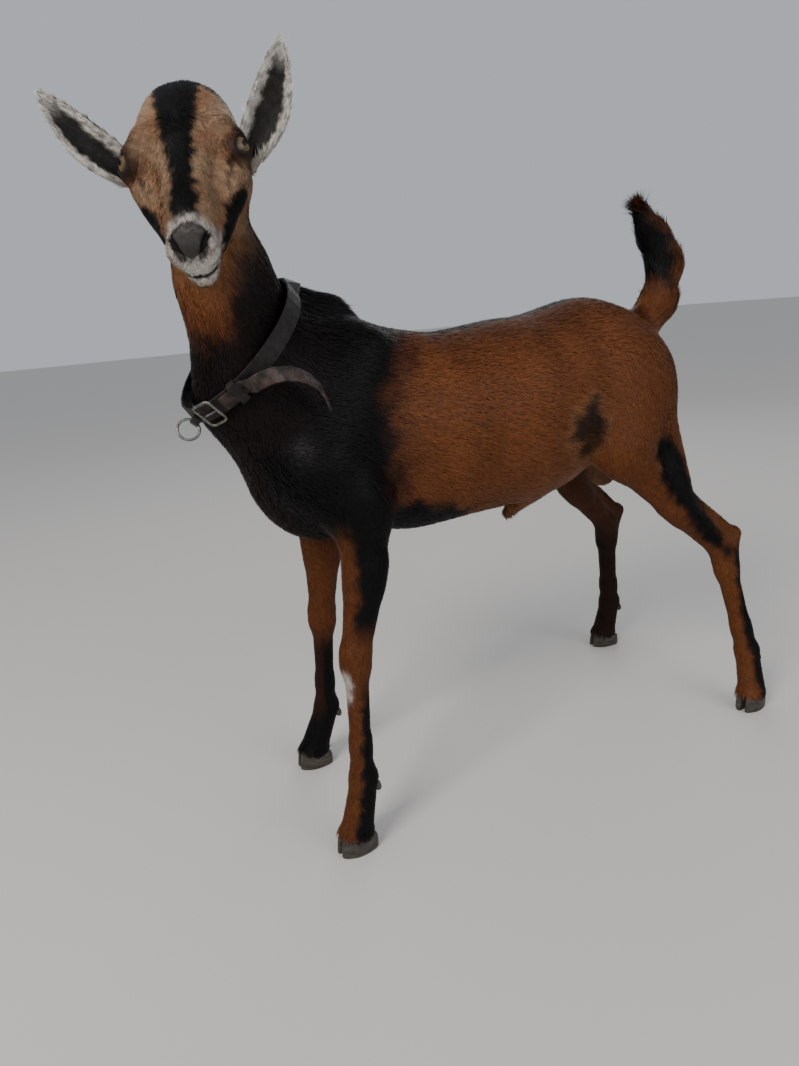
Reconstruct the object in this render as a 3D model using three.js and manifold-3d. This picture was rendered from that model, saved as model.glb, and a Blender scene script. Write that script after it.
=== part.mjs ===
// A young, hornless, short-haired male goat standing still, life size, with its
// head turned to its left and a leather collar round the base of its neck.
//
// Units are millimetres, +Z is up. The goat faces -Y and its left side is +X.
// Inside this file the origin lies on the floor between the four feet; the
// last lines move the whole goat so that its bounding box is centred on it.
//
// The body is one smooth field, built from tapered limbs and ellipsoids that
// melt into one another. Every node of flesh is that field inside its own
// convex region, so neighbours meet along thin flat cuts.

import * as THREE from 'three';
import { mergeVertices } from 'three/addons/utils/BufferGeometryUtils.js';
import Module from 'manifold-3d';

const wasm = await Module();
wasm.setup();

const GAP = 0.3;
const DEG = Math.PI / 180;

// ---------------------------------------------------------------- vectors

const add = (a, b) => [a[0] + b[0], a[1] + b[1], a[2] + b[2]];
const sub = (a, b) => [a[0] - b[0], a[1] - b[1], a[2] - b[2]];
const mul = (a, s) => [a[0] * s, a[1] * s, a[2] * s];
const dot = (a, b) => a[0] * b[0] + a[1] * b[1] + a[2] * b[2];
const mix = (a, b, t) => add(mul(a, 1 - t), mul(b, t));
const unit = (a) => mul(a, 1 / Math.hypot(a[0], a[1], a[2]));
const cross = (a, b) => [
  a[1] * b[2] - a[2] * b[1],
  a[2] * b[0] - a[0] * b[2],
  a[0] * b[1] - a[1] * b[0],
];
const clamp = (x, lo, hi) => Math.min(Math.max(x, lo), hi);
const mirrored = (side, p) => [side * p[0], p[1], p[2]];

// A frame has an origin o and three unit axes u, v, w, with w = u x v.
function frameAlong(o, w, hint) {
  const axis = unit(w);
  const u = unit(cross(hint, axis));
  return { o, u, v: cross(axis, u), w: axis };
}

const WORLD = { o: [0, 0, 0], u: [1, 0, 0], v: [0, 1, 0], w: [0, 0, 1] };
const outOf = (f, p) => add(f.o, add(mul(f.u, p[0]), add(mul(f.v, p[1]), mul(f.w, p[2]))));

// ------------------------------------------------------- pieces of the field

// A limb tapers from radius ra at a to rb at b. It is thinner by the factor
// `flat` along the unit direction `side`.
function limb(a, b, ra, rb, melt, flat = 1, side = [1, 0, 0]) {
  const axis = sub(b, a);
  const inv = 1 / dot(axis, axis);
  const grow = 1 / flat - 1;
  const at = (p) => {
    const d = sub(p, a);
    const t = clamp(dot(d, axis) * inv, 0, 1);
    let q = sub(d, mul(axis, t));
    q = add(q, mul(side, dot(q, side) * grow));
    return Math.hypot(q[0], q[1], q[2]) - (ra + (rb - ra) * t);
  };
  return { at, melt };
}

// An ellipsoid with its three radii along the axes of a frame.
function blob(c, radii, melt, frame = WORLD) {
  const at = (p) => {
    const d = sub(p, c);
    const q = [dot(d, frame.u), dot(d, frame.v), dot(d, frame.w)];
    const k0 = Math.hypot(q[0] / radii[0], q[1] / radii[1], q[2] / radii[2]);
    const k1 = Math.hypot(q[0] / radii[0] ** 2, q[1] / radii[1] ** 2, q[2] / radii[2] ** 2);
    return k1 < 1e-9 ? -Math.min(...radii) : (k0 * (k0 - 1)) / k1;
  };
  return { at, melt };
}

// A frame whose v axis is tipped by `pitch` degrees about X (nose end down for
// a positive pitch) and swung by `yaw` degrees about Z.
function tipped(pitch, yaw = 0) {
  const cp = Math.cos(pitch * DEG);
  const sp = Math.sin(pitch * DEG);
  const cy = Math.cos(yaw * DEG);
  const sy = Math.sin(yaw * DEG);
  const u = [cy, sy, 0];
  const v = [-sy * cp, cy * cp, sp];
  return { o: [0, 0, 0], u, v, w: cross(u, v) };
}

// Joins two distances into one smooth surface; `k` is the width of the melt.
function meltInto(a, b, k) {
  const h = clamp(0.5 + (0.5 * (b - a)) / k, 0, 1);
  return b + (a - b) * h - k * h * (1 - h);
}

const together = (pieces) => (p) =>
  pieces.reduce((d, piece) => (d === null ? piece.at(p) : meltInto(piece.at(p), d, piece.melt)), null);

// ------------------------------------------------------------------- trunk

const TRUNK = [
  blob([0, -150, 488], [92, 170, 126], 40),
  blob([0, 0, 496], [106, 190, 131], 40),
  blob([0, 134, 537], [86, 124, 108], 40),
  blob([0, 202, 545], [72, 84, 72], 30),
  limb([0, -262, 604], [0, -180, 566], 54, 54, 40, 0.8),
  blob([0, -290, 486], [78, 96, 112], 40),
  limb([0, -252, 654], [0, -292, 668], 22, 17, 24, 0.7),
];

const HIP_X = 62;
const SHOULDER_X = 56;
const shoulder = (side) => [
  limb([side * 42, -238, 600], [side * SHOULDER_X, -315, 482], 36, 44, 36, 0.8),
  limb([side * SHOULDER_X, -315, 478], [side * 66, -268, 418], 42, 36, 36),
];

// -------------------------------------------------------------------- neck

const NECK = [
  limb([4, -350, 584], [28, -385, 690], 88, 47, 50, 0.78),
  limb([28, -385, 690], [38, -404, 780], 47, 40, 40, 0.95),
];

// -------------------------------------------------------------------- head

// The head frame: u to the goat's left, v up the face to the poll, w out of the
// forehead. The origin lies on the forehead between the eyes. Points are given
// as [left, down the face, out of the forehead].
const HEAD_YAW = 69.6;
const HEAD_PITCH = 53;
const HEAD_ROLL = 6.8;
const HEAD_AT = [97, -435, 824];
function headFrame() {
  const sy = Math.sin(HEAD_YAW * DEG);
  const cy = Math.cos(HEAD_YAW * DEG);
  const sp = Math.sin(HEAD_PITCH * DEG);
  const cp = Math.cos(HEAD_PITCH * DEG);
  const left = [cy, sy, 0];
  const face = [sy * cp, -cy * cp, -sp];
  const up = mul(face, -1);
  const out = cross(left, up);
  const s = Math.sin(HEAD_ROLL * DEG);
  const c = Math.cos(HEAD_ROLL * DEG);
  const u = add(mul(left, c), mul(out, s));
  return { o: HEAD_AT, u, v: up, w: cross(u, up) };
}
const HEAD = headFrame();
const onHead = (l, f, o) => outOf(HEAD, [l, -f, o]);
const headLimb = (a, b, ra, rb, melt, flat = 1) => (
  limb(onHead(...a), onHead(...b), ra, rb, melt, flat, HEAD.u)
);
const headBlob = (c, radii, melt) => blob(onHead(...c), radii, melt, HEAD);
const onBoth = (make) => [-1, 1].flatMap((side) => make(side));

const EYE_R = 14;
const eyeCentre = (side) => onHead(side * 50.5, 2, -26);

const SKULL = [
  headBlob([0, -34, -46], [55, 56, 48], 20),
  headLimb([0, -4, -30], [0, 78, -29], 30, 24, 20),
  headLimb([0, 70, -30], [0, 108, -33], 25, 23, 14),
  headLimb([0, 40, -72], [0, 106, -58], 24, 17, 18),
  headLimb([0, -40, -78], [0, 30, -84], 38, 26, 24),
  headBlob([0, -70, -46], [39, 29, 34], 30),
  ...onBoth((side) => [
    headLimb([side * 37, -22, -26], [side * 47, -10, -25], 20, 16, 12),
    headLimb([side * 44, 14, -37], [side * 34, 28, -42], 15, 16, 12),
    headLimb([side * 34, 10, -56], [side * 15, 66, -52], 26, 22, 16),
    headBlob([side * 30, 14, -78], [17, 40, 26], 16),
    headBlob([side * 13, 112, -28], [13, 13, 15], 8),
  ]),
];

const CHIN = [
  headLimb([0, 86, -74], [0, 108, -70], 13, 13, 10),
];

// -------------------------------------------------------------------- tail

const TAIL_LINE = [[0, 262, 590], [0, 303, 630], [0, 315, 680], [0, 293, 724], [0, 270, 754]];
const TAIL_R = [30, 32, 34, 28, 17];
const TAIL = TAIL_LINE.slice(1).map((p, i) => (
  limb(TAIL_LINE[i], p, TAIL_R[i], TAIL_R[i + 1], i ? 12 : 26, 0.72)
));

// -------------------------------------------------------------------- legs

// Joints of the four legs, from the ground up.
const FRONT = {
  left: {
    side: 1,
    elbow: [78, -262, 402],
    knee: [93, -308, 246],
    fetlock: [104, -321, 92],
    foot: [110, -342, 0],
    toeOut: 4,
  },
  right: {
    side: -1,
    elbow: [-80, -258, 400],
    knee: [-94, -271, 238],
    fetlock: [-105, -278, 92],
    foot: [-110, -305, 0],
    toeOut: 4,
  },
};
const HIND = {
  left: {
    side: 1,
    stifle: [90, 128, 424],
    hock: [116, 310, 258],
    fetlock: [149, 333, 90],
    foot: [164, 324, 0],
    toeOut: 12,
  },
  right: {
    side: -1,
    stifle: [-90, 122, 422],
    hock: [-116, 292, 260],
    fetlock: [-150, 328, 90],
    foot: [-164, 323, 0],
    toeOut: 12,
  },
};
const FOOT_TOP = 30;

const frontLeg = (leg) => {
  const { elbow, knee, fetlock, foot } = leg;
  const top = add(foot, [0, 4, FOOT_TOP]);
  return [
    limb(add(elbow, [0, -12, 30]), mix(elbow, knee, 0.45), 34, 24, 30, 0.85),
    limb(mix(elbow, knee, 0.3), mix(elbow, knee, 0.92), 28, 19, 14),
    limb(add(elbow, [0, 2, 10]), mix(elbow, knee, 0.4), 20, 16, 18, 0.8),
    blob(add(knee, [0, -1, -4]), [19, 21, 28], 12),
    limb(mix(knee, fetlock, 0.1), mix(knee, fetlock, 0.75), 16, 13.5, 12),
    limb(mix(knee, fetlock, 0.7), fetlock, 13.5, 17, 10),
    limb(add(fetlock, [0, 2, -2]), top, 18, 21, 10),
    blob(add(foot, [0, -1, 22]), [21.5, 26, 16], 8),
  ];
};

const hindLeg = (leg) => {
  const { side, stifle, hock, fetlock, foot } = leg;
  const top = add(foot, [0, 4, FOOT_TOP]);
  const hip = [side * HIP_X, 186, 510];
  const heel = add(hock, [0, 28, 14]);
  return [
    limb(hip, add(stifle, [0, 16, 12]), 74, 50, 36, 0.62),
    limb(add(hip, [0, 26, -30]), add(mix(stifle, hock, 0.5), [0, 8, 24]), 46, 28, 26, 0.66),
    limb(add(stifle, [0, 6, 4]), mix(stifle, hock, 0.6), 34, 22, 20, 0.85),
    limb(mix(stifle, hock, 0.5), hock, 24, 20, 14, 0.85),
    limb(add(mix(stifle, hock, 0.5), [0, 10, 20]), heel, 12, 9, 12, 0.8),
    limb(hock, mix(hock, fetlock, 0.2), 21, 18, 12, 0.85),
    limb(heel, mix(hock, fetlock, 0.25), 11, 14, 12),
    limb(mix(hock, fetlock, 0.15), mix(hock, fetlock, 0.8), 17, 15, 12),
    limb(mix(hock, fetlock, 0.75), fetlock, 15, 18, 10),
    limb(add(fetlock, [0, 1, -2]), top, 18, 21, 10),
    blob(add(foot, [0, -1, 22]), [21.5, 26, 16], 8),
  ];
};

// ------------------------------------------------------- the whole goat's field

const PARTS = [
  ...TRUNK,
  ...onBoth(shoulder),
  ...NECK,
  ...SKULL,
  ...CHIN,
  ...TAIL,
  ...frontLeg(FRONT.left),
  ...frontLeg(FRONT.right),
  ...hindLeg(HIND.left),
  ...hindLeg(HIND.right),
  limb([0, 176, 424], [0, 180, 384], 25, 25, 20, 0.85),
  limb([0, 40, 380], [0, -4, 352], 20, 9, 18),
];
const body = together(PARTS);

// ------------------------------------------------------------ solids and cuts

function asManifold(geometry) {
  const bare = geometry.clone();
  bare.deleteAttribute('normal');
  bare.deleteAttribute('uv');
  const g = mergeVertices(bare, 1e-4);
  return new wasm.Manifold(new wasm.Mesh({
    numProp: 3,
    vertProperties: new Float32Array(g.attributes.position.array),
    triVerts: new Uint32Array(g.index.array),
  }));
}

// Joins vertices closer than WELD, then drops the faces this flattens and the
// pairs it folds onto each other.
const WELD = 0.01;
function welded(geometry) {
  const g = mergeVertices(geometry, WELD);
  const kept = new Map();
  for (let i = 0; i < g.index.count; i += 3) {
    const face = [0, 1, 2].map((j) => g.index.getX(i + j));
    const name = [...face].sort((a, b) => a - b).join();
    if (new Set(face).size < 3) continue;
    if (!kept.delete(name)) kept.set(name, face);
  }
  g.setIndex([...kept.values()].flat());
  return g;
}

function asGeometry(manifold) {
  const mesh = manifold.getMesh();
  const g = new THREE.BufferGeometry();
  g.setAttribute('position', new THREE.BufferAttribute(new Float32Array(mesh.vertProperties), 3));
  g.setIndex(new THREE.BufferAttribute(new Uint32Array(mesh.triVerts), 1));
  const whole = welded(g);
  whole.computeVertexNormals();
  return whole;
}

function closedGeometry(points, triangles) {
  const g = new THREE.BufferGeometry();
  g.setAttribute('position', new THREE.Float32BufferAttribute(points.flat(), 3));
  g.setIndex(triangles.flat());
  g.computeVertexNormals();
  return g;
}

// A box in a frame, from corner lo to corner hi.
function boxIn(frame, lo, hi) {
  const g = new THREE.BoxGeometry(hi[0] - lo[0], hi[1] - lo[1], hi[2] - lo[2]);
  g.translate((lo[0] + hi[0]) / 2, (lo[1] + hi[1]) / 2, (lo[2] + hi[2]) / 2);
  const m = new THREE.Matrix4().makeBasis(
    new THREE.Vector3(...frame.u),
    new THREE.Vector3(...frame.v),
    new THREE.Vector3(...frame.w),
  );
  m.setPosition(...frame.o);
  g.applyMatrix4(m);
  return g;
}

function slopeOf(field, p) {
  const e = 0.5;
  return [0, 1, 2].map((i) => {
    const d = [0, 0, 0];
    d[i] = e;
    return (field(add(p, d)) - field(sub(p, d))) / (2 * e);
  });
}

function ontoSurface(field, p, level) {
  let q = p;
  for (let i = 0; i < 3; i += 1) {
    const g = slopeOf(field, q);
    const step = (field(q) - level) / Math.max(dot(g, g), 0.2);
    q = sub(q, mul(g, clamp(step, -6, 6)));
  }
  return q;
}

// Nets the surface field = level inside a box of a frame. The box closes it.
function netOf(field, frame, lo, hi, cell, level = 0) {
  const n = lo.map((l, i) => Math.max(Math.round((hi[i] - l) / cell[i]), 1));
  const size = lo.map((l, i) => (hi[i] - l) / n[i]);
  const m = n.map((k) => k + 3);
  const gridPoint = (i, j, k) => [i, j, k].map((at, axis) => lo[axis] + (at - 1) * size[axis]);
  const id = (i, j, k) => i + m[0] * (j + m[1] * k);
  const value = new Float64Array(m[0] * m[1] * m[2]);
  const inBox = (i, j, k) => i > 0 && j > 0 && k > 0 && i < m[0] - 1 && j < m[1] - 1 && k < m[2] - 1;
  for (let k = 0; k < m[2]; k += 1) {
    for (let j = 0; j < m[1]; j += 1) {
      for (let i = 0; i < m[0]; i += 1) {
        const v = field(outOf(frame, gridPoint(i, j, k))) - level;
        value[id(i, j, k)] = inBox(i, j, k) ? v : Math.max(v, size[0]);
      }
    }
  }
  const points = [];
  const rim = [];
  const vertex = new Int32Array(value.length).fill(-1);
  const corner = [0, 1, 2, 3, 4, 5, 6, 7].map((c) => [c & 1, (c >> 1) & 1, (c >> 2) & 1]);
  const edges = corner.flatMap((_, a) => [1, 2, 4].filter((d) => !(a & d)).map((d) => [a, a | d]));
  for (let k = 0; k < m[2] - 1; k += 1) {
    for (let j = 0; j < m[1] - 1; j += 1) {
      for (let i = 0; i < m[0] - 1; i += 1) {
        const f = corner.map((c) => value[id(i + c[0], j + c[1], k + c[2])]);
        const crossed = edges.filter(([a, b]) => f[a] < 0 !== f[b] < 0);
        if (crossed.length > 0) {
          const hits = crossed.map(([a, b]) => mix(corner[a], corner[b], f[a] / (f[a] - f[b])));
          const c = mul(hits.reduce(add), 1 / hits.length);
          const g = gridPoint(i, j, k);
          vertex[id(i, j, k)] = points.length;
          points.push(outOf(frame, [g[0] + c[0] * size[0], g[1] + c[1] * size[1], g[2] + c[2] * size[2]]));
          const last = [m[0] - 2, m[1] - 2, m[2] - 2];
          rim.push(i === 0 || j === 0 || k === 0 || i === last[0] || j === last[1] || k === last[2]);
        }
      }
    }
  }
  const placed = points.map((p, i) => (rim[i] ? p : ontoSurface(field, p, level)));
  return closedGeometry(placed, netFaces(value, vertex, placed, m, id));
}

// Two triangles for every grid edge that crosses the surface, split along the
// shorter diagonal.
function netFaces(value, vertex, points, m, id) {
  const step = [1, m[0], m[0] * m[1]];
  const faces = [];
  const far = (a, b) => Math.hypot(...sub(points[a], points[b]));
  for (let k = 0; k < m[2] - 1; k += 1) {
    for (let j = 0; j < m[1] - 1; j += 1) {
      for (let i = 0; i < m[0] - 1; i += 1) {
        const here = id(i, j, k);
        for (let axis = 0; axis < 3; axis += 1) {
          const inside = value[here] < 0;
          if (inside !== value[here + step[axis]] < 0) {
            const b = step[(axis + 1) % 3];
            const c = step[(axis + 2) % 3];
            let q = [vertex[here - b - c], vertex[here - c], vertex[here], vertex[here - b]];
            q = inside ? q : q.reverse();
            const across = far(q[0], q[2]) < far(q[1], q[3]);
            if (!across) q = [q[1], q[2], q[3], q[0]];
            faces.push([q[0], q[1], q[2]], [q[0], q[2], q[3]]);
          }
        }
      }
    }
  }
  return faces;
}

// ------------------------------------------------------------------ regions

// A region is a box in a frame, narrowed by the other regions in `also`.
const region = (frame, lo, hi, ...also) => ({ frame, lo, hi, also });

function shapeOf(r, grow) {
  const box = asManifold(boxIn(r.frame, r.lo.map((x) => x - grow), r.hi.map((x) => x + grow)));
  return r.also.reduce((solid, other) => solid.intersect(shapeOf(other, grow)), box);
}

// The body inside a region, netted in cells of the given size, less the regions
// listed in `without`.
function fleshIn(r, cell, without = []) {
  const pad = cell.map((c) => c * 1.5);
  const net = netOf(body, r.frame, sub(r.lo, pad), add(r.hi, pad), cell);
  const solid = asManifold(net).intersect(shapeOf(r, -GAP / 2));
  return without.reduce((rest, other) => rest.subtract(shapeOf(other, GAP / 2)), solid);
}

// The body grown by a little more than the gap, for cutting the pieces that
// stand on it.
const grownIn = (frame, lo, hi, cell) => asManifold(netOf(body, frame, lo, hi, cell, GAP + 1.2));

const BASE_OF_NECK = { o: [0, -350, 611], u: [1, 0, 0], v: [0, 0.777, 0.63], w: [0, -0.63, 0.777] };
const MOUTH = (() => {
  const back = unit(sub(onHead(0, 0, -70), onHead(0, 122, -47)));
  return { o: onHead(0, 122, -47), u: HEAD.u, v: back, w: cross(HEAD.u, back) };
})();
const ROOT_OF_TAIL = { o: [0, 275, 606], u: [1, 0, 0], v: [0, 0.866, -0.5], w: [0, 0.5, 0.866] };

const HEAD_REGION = region(HEAD, [-85, -145, -86], [85, 105, 40]);
const JAW_REGION = region(MOUTH, [-50, -24, -52], [50, 88, 0]);
const NECK_REGION = region(BASE_OF_NECK, [-130, -190, 0], [170, 190, 330]);
const TAIL_REGION = region(ROOT_OF_TAIL, [-45, -100, 0], [45, 100, 200]);
const SCROTUM_REGION = region(WORLD, [-34, 140, 345], [34, 220, 396]);
const SHEATH_REGION = region(WORLD, [-26, -26, 330], [26, 62, 363]);

// The tilted top of a leg, where it leaves the trunk.
function legTop(side, o, degrees) {
  const c = Math.cos(degrees * DEG);
  const s = Math.sin(degrees * DEG);
  const w = [side * s, 0, -c];
  const u = [0, side, 0];
  return { o: mirrored(side, o), u, v: cross(w, u), w };
}
const below = (frame) => region(frame, [-300, -700, 0], [300, 700, 700]);

// The plane between pastern and hoof is higher at the toe than at the heel.
const CORONET = 25;
const CORONET_TILT = 14;
const footFrame = (leg) => {
  const turn = tipped(-CORONET_TILT, leg.toeOut * leg.side);
  return { ...turn, o: add(leg.foot, [0, 0, CORONET]) };
};
const PASTERN_TALL = 71;
const pasternRegion = (leg) => region(footFrame(leg), [-42, -60, 0], [42, 60, PASTERN_TALL]);

const sideBox = (side, lo, hi) => (side > 0
  ? region(WORLD, lo, hi)
  : region(WORLD, [-hi[0], lo[1], lo[2]], [-lo[0], hi[1], hi[2]]));

const KNEE_TOP = 272;
const upperForeRegion = (leg) => ({
  ...sideBox(leg.side, [38, -372, KNEE_TOP], [165, -196, 520]),
  also: [below(legTop(leg.side, [50, -275, 392], 38))],
});
const foreCannonRegion = (leg) => sideBox(leg.side, [50, -400, 60], [160, -210, KNEE_TOP]);

const gaskinFrame = (leg) => (
  frameAlong(mix(leg.stifle, leg.hock, 0.2), sub(leg.hock, leg.stifle), [1, 0, 0])
);
const gaskinRegion = (leg) => region(gaskinFrame(leg), [-75, -70, 0], [75, 70, 172]);
const thighRegion = (leg) => ({
  ...sideBox(leg.side, [30, 40, 300], [190, 330, 640]),
  also: [below(legTop(leg.side, [46, 190, 396], 74))],
});
const hindCannonRegion = (leg) => sideBox(leg.side, [70, 220, 60], [215, 400, 320]);

// ---------------------------------------------------------------- ears, eyes

// Bends a sheet round its own length: `across` runs from -1 to 1 over the back
// of the ear, `depth` goes inward from the back.
const EAR_HALF = 23;
const EAR_THICK = 5;
const EAR_BULGE = 9;
const EARS = {
  left: { side: 1, root: [46, -8, -66], tip: [108, -322, 910], mouth: [0.9, -0.42, 0] },
  right: { side: -1, root: [-46, -8, -66], tip: [26, -541, 874], mouth: [0.95, 0.1, 0.1] },
};

const earHalfWidth = (s) => EAR_HALF * Math.max(1 - Math.abs((s - 0.47) / 0.54) ** 1.9, 0) ** 0.8;
const earRootWidth = (s) => EAR_HALF * 0.62 * (1 - clamp((s - 0.2) / 0.4, 0, 1));

function earPoint(ear, s, across, depth) {
  const root = onHead(...ear.root);
  const reach = unit(sub(ear.tip, root));
  const open = unit(sub(ear.mouth, mul(reach, dot(ear.mouth, reach))));
  const wide = cross(reach, open);
  const half = Math.max(earHalfWidth(s), earRootWidth(s), 1.5);
  const roll = 1.55 - 0.75 * clamp(s / 0.6, 0, 1);
  const radius = half / Math.sin(Math.min(roll, Math.PI / 2));
  const r = Math.max(radius - depth, 0.6);
  const a = across * roll;
  const bow = Math.sin(Math.PI * s);
  const bent = add(mul(open, -5 * bow), mul(wide, ear.side * EAR_BULGE * bow));
  const spine = add(mix(root, ear.tip, s), bent);
  return add(spine, add(mul(wide, r * Math.sin(a)), mul(open, radius - r * Math.cos(a))));
}

function ear(which) {
  const rows = 9;
  const cols = 4;
  const points = [];
  const faces = [];
  for (let i = 0; i <= rows; i += 1) {
    const s = i / rows;
    const thick = EAR_THICK * (1 - 0.5 * s);
    for (let j = 0; j <= cols; j += 1) {
      points.push(earPoint(which, s, (2 * j) / cols - 1, 0));
    }
    for (let j = cols; j >= 0; j -= 1) {
      points.push(earPoint(which, s, ((2 * j) / cols - 1) * 0.97, thick));
    }
  }
  const ring = 2 * (cols + 1);
  for (let i = 0; i < rows; i += 1) {
    for (let j = 0; j < ring; j += 1) {
      const a = i * ring + j;
      const b = i * ring + ((j + 1) % ring);
      faces.push([a, b, b + ring], [a, b + ring, a + ring]);
    }
  }
  for (let j = 0; j < cols; j += 1) {
    const top = rows * ring;
    const twin = ring - 1 - j;
    faces.push([j, twin, j + 1], [j + 1, twin, twin - 1]);
    faces.push([top + j, top + j + 1, top + twin], [top + j + 1, top + twin - 1, top + twin]);
  }
  return outward(closedGeometry(points, faces));
}

// Turns a closed surface so that its faces point out.
function outward(geometry) {
  const p = geometry.attributes.position.array;
  const t = geometry.index.array;
  const at = (i) => [p[3 * i], p[3 * i + 1], p[3 * i + 2]];
  let volume = 0;
  for (let i = 0; i < t.length; i += 3) {
    volume += dot(at(t[i]), cross(at(t[i + 1]), at(t[i + 2])));
  }
  if (volume < 0) {
    for (let i = 0; i < t.length; i += 3) {
      [t[i + 1], t[i + 2]] = [t[i + 2], t[i + 1]];
    }
  }
  return geometry;
}

function ball(centre, radius, frame = WORLD) {
  const g = new THREE.SphereGeometry(radius, 12, 8);
  const m = new THREE.Matrix4().makeBasis(
    new THREE.Vector3(...frame.u),
    new THREE.Vector3(...frame.v),
    new THREE.Vector3(...frame.w),
  );
  m.setPosition(...centre);
  return g.applyMatrix4(m);
}

// ------------------------------------------------------------------- hooves

const CLAW_LONG = 49;
const CLAW_WIDE = 18.6;
const CLAW_APART = 19.8;
const CLAW_STEPS = [
  { down: 1, long: 1, wide: 1, ahead: 0 },
  { down: 0.5, long: 0.97, wide: 1.0, ahead: 0.5 },
  { down: 0, long: 0.86, wide: 0.9, ahead: 3.5 },
];

// One claw: flat inside wall, round outside wall, blunt toe, flat sole.
function claw(leg, inner) {
  const frame = footFrame(leg);
  const level = tipped(0, leg.toeOut * leg.side);
  const ground = { ...level, o: leg.foot };
  const round = 9;
  const rings = CLAW_STEPS.map((step) => {
    const ring = [];
    for (let i = 0; i < round; i += 1) {
      const a = (2 * Math.PI * i) / round;
      const toe = Math.max(-Math.cos(a), 0);
      const y = (CLAW_LONG / 2) * step.long * Math.cos(a) + step.ahead;
      const wall = Math.sin(a) * inner > 0 ? 0.94 : 1;
      const x = (CLAW_WIDE / 2) * step.wide * wall * Math.sign(Math.sin(a)) * Math.abs(Math.sin(a)) ** 0.72;
      const inward = toe * toe * 4 * inner;
      const flat = outOf(ground, [x * (1 - 0.25 * toe * toe) + inward - (inner * CLAW_APART) / 2, y, 0]);
      const top = flat[2] + (dot(sub(frame.o, flat), frame.w) - GAP) / frame.w[2];
      ring.push([flat[0], flat[1], top * (1 - step.down)]);
    }
    return ring;
  });
  return outward(loft(rings));
}

// Skins a stack of rings of equal length and caps both ends with a fan.
function loft(rings) {
  const n = rings[0].length;
  const points = rings.flat();
  const faces = [];
  for (let i = 0; i + 1 < rings.length; i += 1) {
    for (let j = 0; j < n; j += 1) {
      const a = i * n + j;
      const b = i * n + ((j + 1) % n);
      faces.push([a, b, b + n], [a, b + n, a + n]);
    }
  }
  const last = (rings.length - 1) * n;
  for (let j = 1; j + 1 < n; j += 1) {
    faces.push([0, j + 1, j], [last, last + j, last + j + 1]);
  }
  return closedGeometry(points, faces);
}

function dewclaw(leg, inner) {
  const at = add(leg.fetlock, [leg.side * -inner * 10, 14.5, -14]);
  const lean = unit([leg.side * -inner * 0.2, 0.35, -1]);
  const f = frameAlong(at, lean, [1, 0, 0]);
  const rings = [[-7, 5.6], [5.5, 4]].map(([along, r]) => {
    const ring = [];
    for (let i = 0; i < 6; i += 1) {
      const a = (2 * Math.PI * i) / 6;
      ring.push(outOf(f, [r * Math.cos(a), r * Math.sin(a), along]));
    }
    return ring;
  });
  return outward(loft(rings));
}

// ------------------------------------------------------------------- collar

const COLLAR_AT = [14, -374, 618];
const COLLAR_HALF = [64, 90];
const COLLAR = (() => {
  const w = unit([0.16, -0.7, 0.7]);
  const v = unit(cross(w, [1, 0, 0]));
  return { o: COLLAR_AT, u: cross(v, w), v, w };
})();
const STRAP_WIDE = 22;
const STRAP_THICK = 3;
const STRAP_SLACK = 2.8;
const STRAP_STEPS = 36;
const BUCKLE_TURN = 292;
const KEEPER_TURN = 320;
const RING_TURN = 273;
const WIRE = 1.8;
const RING_R = 12.4;

const collarWay = (turn) => add(mul(COLLAR.u, Math.cos(turn * DEG)), mul(COLLAR.v, Math.sin(turn * DEG)));

// The inside of the strap: an ellipse, pushed out where the neck is thicker.
function strapRadius(turn, edge) {
  const c = Math.cos(turn * DEG) / COLLAR_HALF[0];
  const s = Math.sin(turn * DEG) / COLLAR_HALF[1];
  const from = add(COLLAR.o, mul(COLLAR.w, edge));
  const way = collarWay(turn);
  let r = 30;
  for (let i = 0; i < 40; i += 1) {
    r += clamp(STRAP_SLACK - body(add(from, mul(way, r))), -4, 8);
  }
  return Math.max(1 / Math.hypot(c, s), r);
}

const strapPoint = (turn, edge, lift) => add(
  add(COLLAR.o, mul(COLLAR.w, edge)),
  mul(collarWay(turn), strapRadius(turn, edge) + lift),
);

// The frame on the outside of the strap: u along it, v across it, w outward.
function strapFrame(turn, lift = STRAP_THICK) {
  const u = unit(sub(strapPoint(turn + 3, 0, lift), strapPoint(turn - 3, 0, lift)));
  const across = sub(strapPoint(turn, STRAP_WIDE / 2, lift), strapPoint(turn, -STRAP_WIDE / 2, lift));
  const w = unit(cross(u, across));
  return { o: strapPoint(turn, 0, lift), u, v: cross(w, u), w };
}

const bandSection = (turn, low, high, wide) => {
  const edge = wide / 2;
  const bottom = [-edge, edge].map((e) => strapPoint(turn, e, low));
  const top = [edge, -edge].map((e) => strapPoint(turn, e, high));
  return [...bottom, ...top];
};

// Skins rings into a closed hoop.
function hoop(rings) {
  const n = rings[0].length;
  const faces = [];
  rings.forEach((_, i) => {
    const next = ((i + 1) % rings.length) * n;
    for (let j = 0; j < n; j += 1) {
      const k = (j + 1) % n;
      faces.push([i * n + j, i * n + k, next + k], [i * n + j, next + k, next + j]);
    }
  });
  return outward(closedGeometry(rings.flat(), faces));
}

function strapHoop(thick, wide) {
  const rings = [];
  for (let i = 0; i < STRAP_STEPS; i += 1) {
    rings.push(bandSection((360 * i) / STRAP_STEPS, 0, thick, wide));
  }
  return hoop(rings);
}
const collarStrap = () => strapHoop(STRAP_THICK, STRAP_WIDE);

// The strap grown by the gap, for cutting what sits on it.
const grownStrap = () => asManifold(strapHoop(STRAP_THICK + GAP, STRAP_WIDE + 2 * GAP));

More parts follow.
